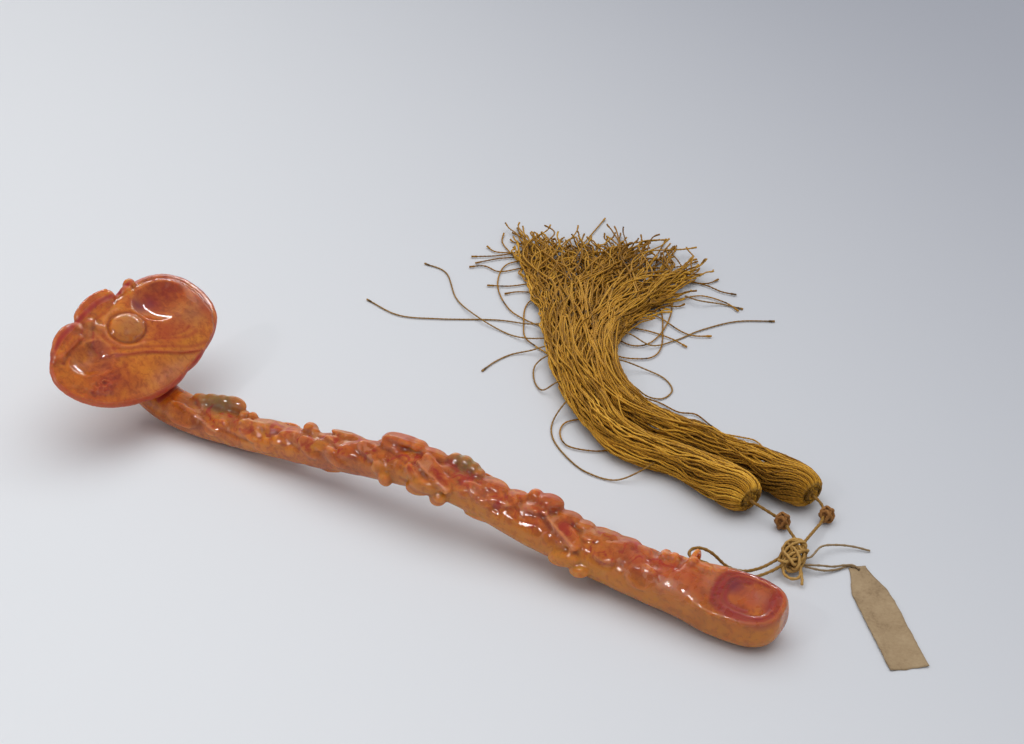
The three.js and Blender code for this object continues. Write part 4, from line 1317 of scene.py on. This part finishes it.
tassel_strands = {"near": tassel_lines("near", 11), "far": tassel_lines("far", 23)}
print("strands", {name: len(lines) for name, (lines, _) in tassel_strands.items()})

# %% [markdown]
# Some strands have slipped out of the order altogether. They lie in loose waves and loops on top of the
# fan, and a few short ends stick out at its edge.

# %% Wild strands
FAN_HALF = 40
USUAL_LENGTH = 270


def over_the_top(across):
    """How high the bundle's surface is at shares of its half width."""
    return np.sqrt(np.clip(1 - across**2, 0.05, 1))


def wild_strand(which, draw):
    full = len(bundles[which][0])
    first = draw.uniform(0.30, 0.55) * full
    last = full * draw.uniform(0.86, 1.03)
    depth = np.arange(first, last, STRAND_STEP)
    away = soft_step((depth - first) / 25)
    across = draw.uniform(-0.75, 0.75) + wave(draw, depth, 150, 60) * 0.34 * away
    line = in_bundle(which, depth, across, over_the_top(across))
    line[:, 2] += away * (0.7 + 0.8 * (1 + wave(draw, depth, 70, 34)))
    return line


def loop_strand(which, draw):
    """A strand that goes up the fan, turns over in a bow and comes back."""
    full = len(bundles[which][0])
    foot = draw.uniform(0.48, 0.62) * full
    rise = draw.uniform(26, 48)
    side = draw.choice((-1, 1))
    start = draw.uniform(-0.5, 0.3)
    width = draw.uniform(0.25, 0.55)
    bow = [(0, 0), (0.45, 0.02), (0.85, 0.2), (1, 0.5), (0.86, 0.8), (0.5, 1), (0.1, 1.05)]
    points = [(foot + up * rise, (start + out * width) * FAN_HALF * side) for up, out in bow]
    rows = smooth_line(points, STRAND_STEP)
    across = rows[:, 1] / FAN_HALF
    line = in_bundle(which, rows[:, 0], across, over_the_top(across))
    ends = np.minimum(np.linspace(0, 8, len(line)), np.linspace(8, 0, len(line)))
    line[:, 2] += 1.3 * soft_step(ends)
    return line


def crossing_strand(which, other, draw):
    """A strand that leaves its own tassel and goes on over the other one."""
    depth = np.arange(draw.uniform(0.16, 0.45), draw.uniform(0.74, 1.0), STRAND_STEP / USUAL_LENGTH)
    over = soft_step((depth - depth[0] - draw.uniform(0.02, 0.10)) / draw.uniform(0.2, 0.4))[:, None]
    facing = TOWARDS_THE_OTHER[which]
    sides = []
    for name, side in ((which, facing), (other, -facing)):
        across = side * draw.uniform(0.1, 0.8) + 0.12 * wave(draw, depth * USUAL_LENGTH, 120, 50)
        sides.append(in_bundle(name, depth * len(bundles[name][0]), across, over_the_top(across)))
    line = sides[0] * (1 - over) + sides[1] * over
    rising = soft_step((depth - depth[0]) / 0.05)
    line[:, 2] += 0.9 * rising * (1.2 + wave(draw, depth * USUAL_LENGTH, 70, 30))
    return line


print("kinds of wild strands", [kind.__name__ for kind in (wild_strand, loop_strand, crossing_strand)])

# %% [markdown]
# The ends that stick out one by one at the edge of the fan would look wrong if they were random, so each
# one is given by its points on the table, from inside its bundle to its tip.

# %% Ends that stick out
STRAYS = {
    "near": [
        [(-86, 82), (-93, 80), (-97.9, 73.4), (-95.6, 64.8), (-88.2, 58.6), (-77.2, 60.7), (-70, 66)],
        [(-188, 208), (-195, 203), (-203.6, 192), (-215, 184)],
        [(-186, 202), (-193, 197), (-202, 189), (-209.5, 179)],
        [(-178, 192), (-186, 187), (-194, 177.5), (-203.6, 178.8), (-210, 174)],
        [(-167, 178), (-174, 175), (-182, 167), (-192, 162)],
        [(-160, 171), (-168, 168), (-175.5, 164), (-180, 159)],
        [(-189, 203), (-196.7, 200), (-206.7, 195), (-214, 198)],
        [(-187, 188), (-194, 194), (-208.6, 205), (-214, 215)],
        [(-183, 204), (-190, 208.7), (-203, 216), (-211, 224)],
        [(-180, 206), (-188, 210), (-201, 215), (-210.5, 218)],
        [(-136, 139), (-144, 140), (-159.6, 142.5), (-171, 147.6), (-184, 160), (-192, 173.6),
         (-194.6, 186.6), (-187, 195.7), (-180, 199)],
        [(-153, 171), (-160.8, 167), (-165, 161), (-164, 152), (-157, 138.6), (-150, 128), (-141, 123),
         (-132, 120)],
        [(-170, 210), (-171.4, 220), (-173.8, 241), (-176, 258)],
    ],
    "far": [
        [(-116, 214), (-108, 216.6), (-98, 220), (-94.8, 227)],
        [(-116, 217), (-109, 218), (-97, 218), (-88, 216), (-80.5, 217)],
        [(-119, 183), (-112.5, 187), (-104, 197), (-95, 207), (-82, 207), (-73, 202.6)],
        [(-120, 179), (-114, 179), (-102.6, 177), (-89.5, 171), (-81.7, 170), (-74, 174)],
        [(-117, 161), (-110, 162), (-100.5, 163), (-89, 162), (-80, 159)],
        [(-111, 134), (-104.5, 135), (-97, 136.6), (-90, 142), (-90, 152), (-97, 168), (-105, 182.5),
         (-114, 190)],
        [(-117, 151), (-111.8, 149), (-102.7, 147), (-97, 152), (-96, 164), (-99.5, 181.5), (-107, 199),
         (-112, 206)],
        [(-130, 212), (-129.4, 220.5), (-126.4, 237), (-129, 249)],
        [(-130, 211), (-131, 219.5), (-134, 239), (-137, 253)],
        [(-131, 218), (-125, 223), (-116.8, 230), (-112, 239)],
        [(-77, 107), (-69, 109), (-59, 106.6), (-51.6, 108.8), (-43, 104.6), (-37, 102), (-31, 98)],
        [(-41, 98), (-34.7, 101), (-27, 102.6), (-20, 103), (-11, 96), (-7, 92), (-4, 87)],
    ],
}
print("ends that stick out", {which: len(strays) for which, strays in STRAYS.items()})

# %% [markdown]
# The wild strands and these ends join the others of their tassel. Those on top lie in the light and get
# middle tones. The ends lie on the table by themselves and look darker against it.

# %% Adding the wild strands
WILD, LOOPS, CROSSINGS = 16, 7, 12
ROOT_LIFT, TIP_LIFT = 2.2, 0.5
TOP_TONES, STRAY_TONES = (0.25, 0.75), (0.2, 0.5)
for seed, (which, (lines, tones)) in enumerate(tassel_strands.items()):
    draw = random.Random(40 + seed)
    other = "far" if which == "near" else "near"
    lying = [wild_strand(which, draw) for _ in range(WILD)]
    lying += [loop_strand(which, draw) for _ in range(LOOPS)]
    lying += [crossing_strand(which, other, draw) for _ in range(CROSSINGS)]
    strays = []
    for root, *rest in STRAYS[which]:
        points = [(*root, LOWEST + ROOT_LIFT)] + [(x, y, LOWEST + TIP_LIFT) for x, y in rest]
        strays.append(smooth_line(points, STRAND_STEP))
    lines += lying + strays
    tones += [draw.uniform(*TOP_TONES) for _ in lying] + [draw.uniform(*STRAY_TONES) for _ in strays]
print("strands with wild ones", {name: len(lines) for name, (lines, _) in tassel_strands.items()})

# %% [markdown]
# All the strands of a tassel in one mesh would be too heavy to handle, so each tassel is swept in five
# pieces of at most 39 strands. They ride together, and the first one stands for the plain solid of the
# frame. The cut ends are a little thicker than the strand, as silk is where its twist opens.

# %% The tassels' pieces
STRANDS_IN_A_PIECE = 39
CUT_END = 1.25
for which, (lines, tones) in tassel_strands.items():
    for first in range(0, len(lines), STRANDS_IN_A_PIECE):
        few = slice(first, first + STRANDS_IN_A_PIECE)
        name = f"{which}_tassel_strands_{first // STRANDS_IN_A_PIECE + 1}"
        few_lines = [placed(line) for line in lines[few]]
        piece = swept_piece(name, f"{which}_tassel", twisted["ochre_silk"], few_lines,
                            STRAND, STRAND_PITCH, tones[few], CUT_END)
        if first == 0:
            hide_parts(f"{which}_tassel_skein")
        print(name, len(piece.data.polygons) * 2, "triangles")

# %% [markdown]
# ## Loose strands and cords
#
# Each of these has its own length, and they follow the frame's routes. A loose strand starts at the side of
# its tassel, given by a station's number, and a bow comes back to it.

# %% Routes of the loose strands
LEFT, RIGHT = 1, -1
# tassel, side, stations that it leaves and returns to, and the points between; two numbers lie flat
LOOSE_STRANDS = {
    "long_left": ("near", LEFT, 9.5, None,
                  [(-155, 138, 1.8), (-171, 135), (-195, 122), (-214, 115), (-236, 120)]),
    "upper_left": ("near", LEFT, 9, None,
                   [(-148, 125.4, 2.4), (-160, 127), (-178, 131, 2.1), (-198, 143), (-217, 163),
                    (-232, 166)]),
    "short_left": ("near", LEFT, 8.7, None, [(-141, 117, 2), (-148, 111), (-151, 102), (-152, 92)]),
    "bow_left": ("near", LEFT, 8.35, 7.3, [(-132.4, 107, 1.8), (-127, 97), (-119, 90.6, 1.8)]),
    "bow_near": ("near", LEFT, 6.6, 3.5,
                 [(-103, 72, 1.4), (-97, 61), (-85, 51.6), (-72, 46), (-58, 47, 1.4)]),
    "bow_right": ("far", RIGHT, 8.6, 7.4,
                  [(-87, 130, 1.8), (-77, 129), (-69.5, 122), (-70, 113.5), (-76, 110, 1.8)]),
    "long_right": ("far", RIGHT, 10.1, None,
                   [(-94, 150.6, 1.8), (-87, 163), (-81, 177), (-70, 193), (-54, 203)]),
    "fringe_right": ("far", RIGHT, 12.5, None, [(-83, 204.6, 1), (-72, 206)]),
}
print("loose strands", list(LOOSE_STRANDS))

# %% [markdown]
# The first points of a strand lie inside the bundle, so it grows out of it, and a bow goes back in the
# same way. Between them it lies flat on the table, apart from the points that have a height of their own.

# %% Loose strands
FLAT_HEIGHT = 0.7
INSIDE = 8.8
JUST_INSIDE = 0.4


def bundle_side(which, station, side, out):
    """The place beside a tassel at a station, out from its surface, or inside it where out is below zero."""
    rows = station_rows(which)
    number = int(station)
    finer = smooth_line(rows[max(0, number - 1):number + 3], 0.25)
    before = np.array(rows[number])
    after = np.array(rows[min(number + 1, len(rows) - 1)])
    guess = before + (after - before) * (station % 1)
    spot = np.argmin(np.linalg.norm(finer[:, :2] - guess[:2], axis=1))
    row, way = finer[spot], directions(finer[:, :3])[spot]
    left = np.cross((0, 0, 1), way)
    return row[:3] + side * left / np.linalg.norm(left) * (row[3] / 2 + out)


def declare_cord(piece, line):
    print(piece.name, round(length_of(line) / MM, 1), "mm")


for name, (which, side, leaves, returns, points) in LOOSE_STRANDS.items():
    route = [bundle_side(which, leaves, side, out) for out in (-INSIDE, -JUST_INSIDE)]
    route += [point if len(point) == 3 else (*point, FLAT_HEIGHT) for point in points]
    if returns:
        route += [bundle_side(which, returns, side, out) for out in (-JUST_INSIDE, -INSIDE)]
    line = placed(smooth_line(route, STRAND_STEP))
    tip_size, far_end = (1.0, "object") if returns else (CUT_END, "bare")
    strand = swept_piece(f"{name}_strand", f"{which}_tassel", twisted["cord_silk"], [line],
                         STRAND, STRAND_PITCH, [0.5], tip_size)
    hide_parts(f"loose_strand_{name}")
    declare_cord(strand, line)

# %% [markdown]
# Round button knots sit on the cords above the tassels. Such a knot is a Turk's head: one strand that
# goes three times round a ball in four waves, over and under itself. A sum of sines gives that line
# directly, and a wound core fills the ball.

# %% Lines of a woven ball
WEAVE_LATITUDE = math.radians(64)
WEAVE_DEPTH = 0.16


def on_ball(turn, up):
    """Places on a ball of radius one, from angles round it and up from its middle."""
    return np.column_stack([np.cos(up) * np.cos(turn), np.cos(up) * np.sin(turn), np.sin(up)])


def turks_head(middle, size, strand, leads, bights, steps=260):
    """The closed line of a woven ball knot, as far out as its strand allows."""
    turn = np.linspace(0, math.tau, steps)
    up = WEAVE_LATITUDE * np.cos(bights * turn)
    reach = (size - strand) / 2 + WEAVE_DEPTH * strand * np.sin(bights * turn * 2 + 0.6)
    return np.array(middle) + on_ball(leads * turn, up) * reach[:, None]


def coil_core(middle, size, strand):
    """A tight wound core, so that a woven knot is not hollow."""
    turn = np.linspace(0, 7 * math.tau, 160)
    up = np.linspace(-1.2, 1.2, 160)
    reach = (size - 2 * strand) / 2 - 0.2
    return np.array(middle) + reach * on_ball(turn, up)


print("a ball of 7 mm takes", round(length_of(turks_head((0, 0, 0), 7, 1.6, 3, 4))), "mm of cord")

# %% [markdown]
# Each tassel has a button on its cord and a stopper knot of the same kind, which is hidden in its head
# and holds the strands.

# %% Button knots
CORD = 1.5
CORD_PITCH = 5.2
BUTTONS = {"near": (12.7, 52.7, 3.75), "far": (26.4, 65.6, 3.75)}
BUTTON_SIZE = 7.2
BUTTON_STRAND = 1.6
STOPPER_SIZE = 6
STOPPER_DEPTH = 9.7


def knot_piece(name, body, finish, lines, strand, tones):
    lines = [placed(line) for line in lines]
    return swept_piece(name, body, twisted[finish], lines, strand, CORD_PITCH, tones)


def into_head(which, depth):
    """The place on a tassel's middle line at a depth inside its mouth."""
    first, second = [np.array(row[:3]) for row in station_rows(which)[:2]]
    return first + (second - first) / np.linalg.norm(second - first) * depth


for which, button in BUTTONS.items():
    balls = {"button": (button, BUTTON_SIZE), "stopper": (into_head(which, STOPPER_DEPTH), STOPPER_SIZE)}
    for part, (middle, size) in balls.items():
        lines = [turks_head(middle, size, BUTTON_STRAND, 3, 4), coil_core(middle, size, BUTTON_STRAND)]
        piece = knot_piece(f"{which}_{part}_weave", f"{which}_tassel", "brown_silk", lines, BUTTON_STRAND,
                           [0.55, 0.2])
        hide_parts(f"{which}_{part}_knot")

# %% [markdown]
# The cords: a loop goes round the lug's bar and back into the gathering knot, and one cord goes from that
# knot through each button into its tassel. A limp silk cord can turn in about twice its own thickness, so
# the turn round the bar is left wide.

# %% Cords
LUG_HEIGHT = 17.5
TURN_RADIUS = 3.7
TURN_MIDDLE = 0.3
TURN_ANGLES = (-90, -135, -180, -225, -270)
STEP_ALONG_CORD = 0.7
LOOP_IN = [
    (24.4, 30, 4.4), (23.2, 24, 4.2), (19.6, 16.6, 4.2), (15.4, 9, 5.8), (11.8, 3.8, 9.2), (8.8, 0.7, 12.6),
    (6, -1.3, 15.4), (3.4, -2.7, 17),
]
LOOP_OUT = [
    (3.2, 4.2, 16.8), (5.6, 5, 14.6), (8.2, 6.4, 11.4), (11.2, 9.4, 8.2), (14.6, 14, 5.8), (18, 20, 4.8),
    (20.4, 26, 4.6), (22, 31, 4.6),
]
loop_turn = []
for angle in map(math.radians, TURN_ANGLES):
    x, y = TURN_RADIUS * math.cos(angle), TURN_MIDDLE + TURN_RADIUS * math.sin(angle)
    loop_turn.append((x, y, LUG_HEIGHT))
BRANCHES = {
    "near": [(24.6, 36, 4.7), (22.9, 42, 4.7), (17.9, 47.6, 4.2), BUTTONS["near"], (0.3, 52.2, 8.4)],
    "far": [(25.4, 36, 4.7), (25.9, 42.4, 4.7), (26.4, 53.6, 4.3), (26.4, 60.2, 3.8), (25.2, 65.4, 4.5),
            (22.2, 68.2, 6.8)],
}


def silk_cord(name, route, body, nodes):
    line = placed(smooth_line(route, STEP_ALONG_CORD))
    piece = swept_piece(name, body, twisted["cord_silk"], [line], CORD, CORD_PITCH, [0.4])
    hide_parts(*nodes)
    declare_cord(piece, line)


for which, branch in BRANCHES.items():
    inner = [into_head(which, depth) for depth in (4, STOPPER_DEPTH)]
    nodes = (f"{which}_branch_cord", f"{which}_neck_cord")
    silk_cord(f"{which}_tassel_cord", branch + inner, f"{which}_tassel", nodes)

# %% [markdown]
# The gathering knot is a full, slightly flat knot: the same woven line as a button's, wound closer over
# an egg and over a smaller one inside it, with a few turns round its neck. A bight and a short tail are
# left below.

# %% Gathering knot
KNOT_MIDDLE = np.array([25.5, 33, 4.9])
KNOT_TURN = math.radians(8)


def in_knot(points):
    """Points across, along and above the knot's middle, turned as it lies."""
    rows = np.array(points, float)
    across = rows[:, 0] * math.cos(KNOT_TURN) - rows[:, 1] * math.sin(KNOT_TURN)
    along = rows[:, 0] * math.sin(KNOT_TURN) + rows[:, 1] * math.cos(KNOT_TURN)
    return KNOT_MIDDLE + np.column_stack([across, along, rows[:, 2]])


KNOT_STRAND = 1.4
KNOT_SHAPE = np.array([5.0, 6.9, 3.8])
shell = turks_head((0, 0, 0), 2 + KNOT_STRAND, KNOT_STRAND, 7, 5, 520)
inner_shell = turks_head((0, 0, 0), 1.6 + KNOT_STRAND, KNOT_STRAND, 7, 4, 480)
wrap = np.linspace(0, 2.4 * math.tau, 90)
wrapped = np.column_stack([3.2 * np.cos(wrap), 5.6 + 0.7 * wrap / math.tau, 2.6 * np.sin(wrap)])
KNOT_LINES = [
    in_knot(shell[:, (0, 2, 1)] * KNOT_SHAPE), in_knot(inner_shell[:, (2, 0, 1)] * KNOT_SHAPE),
    in_knot(wrapped),
    in_knot(smooth_line([(-1, -5, 0), (-1.8, -7.6, -1.0), (-0.6, -10.2, -2), (2.6, -11.2, -2.4),
                         (5, -9.6, -2), (4.4, -6.6, -0.8), (2, -4.4, 0)], 0.5)),
    in_knot(smooth_line([(3, -4, 0.6), (4.8, -7, -0.8), (6.2, -10, -2.4), (6.8, -12.2, -3.2)], 0.5)),
]
KNOT_TONES = [0.9, 0.55, 0.8, 0.9, 0.8]
gathering = knot_piece("gathering_weave", "hanger", "cord_silk", KNOT_LINES, KNOT_STRAND, KNOT_TONES)
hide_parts("gathering_knot")
silk_cord("hanging_loop_cord", LOOP_IN + loop_turn + LOOP_OUT, "hanger", ("hanging_cord_loop",))

# %% [markdown]
# ## The paper tag
#
# An old paper label, cut by hand: narrow at the top with two sloping shoulders, a little ragged along its
# edges, and not quite flat. It is a grid that is pulled to the outline. A vertex bevel opens the hole,
# and the sheet gets its thickness last.

# %% Tag
TAG_TOP = np.array([47.5, 44.4])
TAG_TURN = math.radians(-50.9)
TAG_LENGTH = 58.5
TAG_WIDTH = 14.4
TAG_TOP_WIDTH = 6.8
TAG_SHOULDER = 18
TAG_THICKNESS = 0.3
HOLE_INSET = 2.6
HOLE_RADIUS = 0.8
TAG_GAP = 0.06

tag_sheet = bmesh.new()
bmesh.ops.create_grid(tag_sheet, x_segments=52, y_segments=14, size=0.5)
for vert in tag_sheet.verts:
    along = (vert.co.x + 0.5) * TAG_LENGTH
    widening = soft_step(along / TAG_SHOULDER)
    wide = TAG_TOP_WIDTH + (TAG_WIDTH - TAG_TOP_WIDTH) * widening
    ragged = noise.noise((along * 0.3, vert.co.y * 3, 1.7)) * 0.28
    ragged += noise.noise((along * 1.7, vert.co.y * 3, 5)) * 0.08
    side = vert.co.y * wide + ragged * abs(vert.co.y) * 2
    along += noise.noise((vert.co.y * 5, 9, 2)) * 0.4 * abs(vert.co.x) * 2
    curled_edges = 0.5 * (vert.co.y * 2) ** 2 * soft_step((along - 8) / 20)
    buckled = 0.3 * (1 + noise.noise((along * 0.08, side * 0.1, 3)))
    vert.co = (along, side, 0.25 + curled_edges + buckled)
tag_sheet.verts.ensure_lookup_table()
hole = min(tag_sheet.verts, key=lambda v: (v.co.x - HOLE_INSET) ** 2 + v.co.y**2)
opened = bmesh.ops.bevel(tag_sheet, geom=[hole], offset=HOLE_RADIUS, affect="VERTICES", segments=3,
                         profile=0.5, material=-1)
bmesh.ops.delete(tag_sheet, geom=opened["faces"], context="FACES_ONLY")
bmesh.ops.recalc_face_normals(tag_sheet, faces=tag_sheet.faces)
bmesh.ops.solidify(tag_sheet, geom=tag_sheet.faces[:], thickness=TAG_THICKNESS)
lowest = min(v.co.z for v in tag_sheet.verts)
bmesh.ops.translate(tag_sheet, vec=(0, 0, TAG_GAP - lowest), verts=tag_sheet.verts)
tag_place = Matrix.Translation((*(TAG_TOP + HANGING[:2]), 0)) @ Matrix.Rotation(TAG_TURN, 4, "Z")
bmesh.ops.transform(tag_sheet, matrix=Matrix.Scale(MM, 4) @ tag_place, verts=tag_sheet.verts)
tag = link(bpy.data.objects.new("bare_paper_tag", bpy.data.meshes.new("bare_paper_tag")))
tag_area = sum(face.calc_area() for face in tag_sheet.faces) / 2
tag_sheet.to_mesh(tag.data)
tag_sheet.free()
tag.data.shade_smooth()
print("tag", round(tag_area * 1e6), "square millimetres")

# %% [markdown]
# Handmade paper that has yellowed: fine fibres, broad stains, no gloss. Two sizes of noise give all of
# it.

# %% Paper of the tag
tag_paper, place = start_finish("old_tag_paper")
fibres = place.noise(900, 5, 0.65)
stains = place.noise(70, 4, 0.6, 0.5)
paper_colour = (stains * 0.7 + fibres * 0.4 - 0.05).ramp(
    [(0.25, (0.16, 0.10, 0.05)), (0.48, (0.335, 0.235, 0.132)), (0.75, (0.45, 0.335, 0.20))])
set_finish(tag_paper, {"Specular IOR Level": 0.25},
           {"Base Color": paper_colour, "Roughness": fibres * 0.2 + 0.7,
            "Normal": bump(place, fibres, 0.0002, 0.6)})
tag.data.materials.append(tag_paper)
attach(tag, "tag")
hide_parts("paper_tag")
print("paper of the tag ready")

# %% [markdown]
# The string is twisted out of strips of the same paper. One ply goes from the knot through the tag's
# hole, and a free end lies beside it: both are declared as cords. A second ply is wound along the first
# for a shorter way, too short to be declared as a cord, so it is a plain piece.

# %% String of the tag
STRING = 1.0
STRING_PITCH = 7
STRINGS = {
    "tag_string_twist": ("tag_string", [(24.2, 29.4, 5), (28.4, 30.2, 4.6), (31.6, 31.2, 4),
                                        (36.4, 34.6, 3.2), (40, 38, 1.8), (43.2, 41.4, 1.4),
                                        (46.4, 43.4, 1.3), (49.2, 42.8, 1.0)]),
    "tag_string_second_ply": ("tag_string", [(30, 30.4, 3.6), (34.6, 31.8, 2.8), (38.6, 34.6, 1.6),
                                             (42, 38.6, 0.9), (44.6, 42.6, 0.8), (47.4, 43.2, 1.0)]),
    "tag_string_free_end": ("hanger", [(28.2, 33.6, 4.6), (31.4, 36.2, 4.2), (32.4, 44.6, 4), (36.4, 49.8, 3),
                                       (42, 53.8, 1.8), (48.6, 56, 0.8)]),
}
string_pieces = {}
for name, (body, route) in STRINGS.items():
    line = placed(smooth_line(route, 0.6))
    piece = swept_piece(name, body, twisted["string_paper"], [line],
                        STRING, STRING_PITCH, [0.6])
    string_pieces[name] = piece, line
STRING_ENDS = {
    "tag_string_twist": ("tag_string", "object"), "tag_string_free_end": ("tag_string_end", "bare"),
}
for name, (node, far_end) in STRING_ENDS.items():
    piece, line = string_pieces[name]
    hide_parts(node)
    declare_cord(piece, line)

# %% [markdown]
# ## Table and light
#
# A pale sheet of paper and soft lamps, as in a photograph for a catalogue. The wide lamp overhead gives
# the even light and is left out of reflections. The polished stone mirrors a narrow strip behind it and
# two small lamps in front. The strip and one of those give reflections only, so they draw thin bright
# lines and specks without lighting the table, and there is no white veil.

# %% Table and lamps
def lamp(name, place, aim, size, power):
    made = link(bpy.data.objects.new(name, bpy.data.lights.new(name, "AREA")))
    made.data.shape = "RECTANGLE"
    made.data.size, made.data.size_y = size
    made.data.energy = power
    made.location = place
    made.rotation_euler = (Vector(aim) - Vector(place)).to_track_quat("-Z", "Y").to_euler()
    return made


TABLE_HALF = 6
PALE_PAPER, SHADED_PAPER = (0.80, 0.815, 0.835), (0.385, 0.40, 0.445)
table = bmesh.new()
bmesh.ops.create_grid(table, x_segments=1, y_segments=1, size=TABLE_HALF)
floor = link(bpy.data.objects.new("table", bpy.data.meshes.new("table")))
table.to_mesh(floor.data)
table.free()
paper, place = start_finish("table_paper")
# painted shade: the table's colour darkens towards the far right corner, where less light falls
to_corner = axis(place, 0) * 0.62 + axis(place, 1) * 0.78
set_finish(paper, {"Roughness": 0.9, "Specular IOR Level": 0.0},
           {"Base Color": to_corner.step(-0.25, 0.62).mix(PALE_PAPER, SHADED_PAPER)})
floor.data.materials.append(paper)

world = bpy.data.worlds.new("soft room")
world.use_nodes = True
room = world.node_tree.nodes["Background"]
room.inputs["Color"].default_value = (0.95, 0.96, 1, 1)
room.inputs["Strength"].default_value = 0.40
scene.world = world
# place, what it points at, size in metres and power in watts
overhead = lamp("overhead softbox", (-0.05, 0.25, 1.6), (0, 0.08, 0), (2.2, 2.2), 22.3)
overhead.visible_glossy = False
strip = lamp("low strip behind", (-0.75, 1.35, 0.75), (0, 0.05, 0), (2.4, 0.08), 11.5)
strip.visible_diffuse = False
lamp("small front lamp", (-0.35, -0.85, 0.9), (0, 0, 0), (0.07, 0.07), 0.8)
glints = lamp("front glints", (-0.30, -0.95, 0.85), (0, 0, 0), (0.34, 0.2), 4.0)
glints.visible_diffuse = False
lamp("right fill", (1.1, 0.1, 0.9), (0.05, 0.05, 0), (0.6, 0.6), 0.6)

# %% [markdown]
# ## Finish
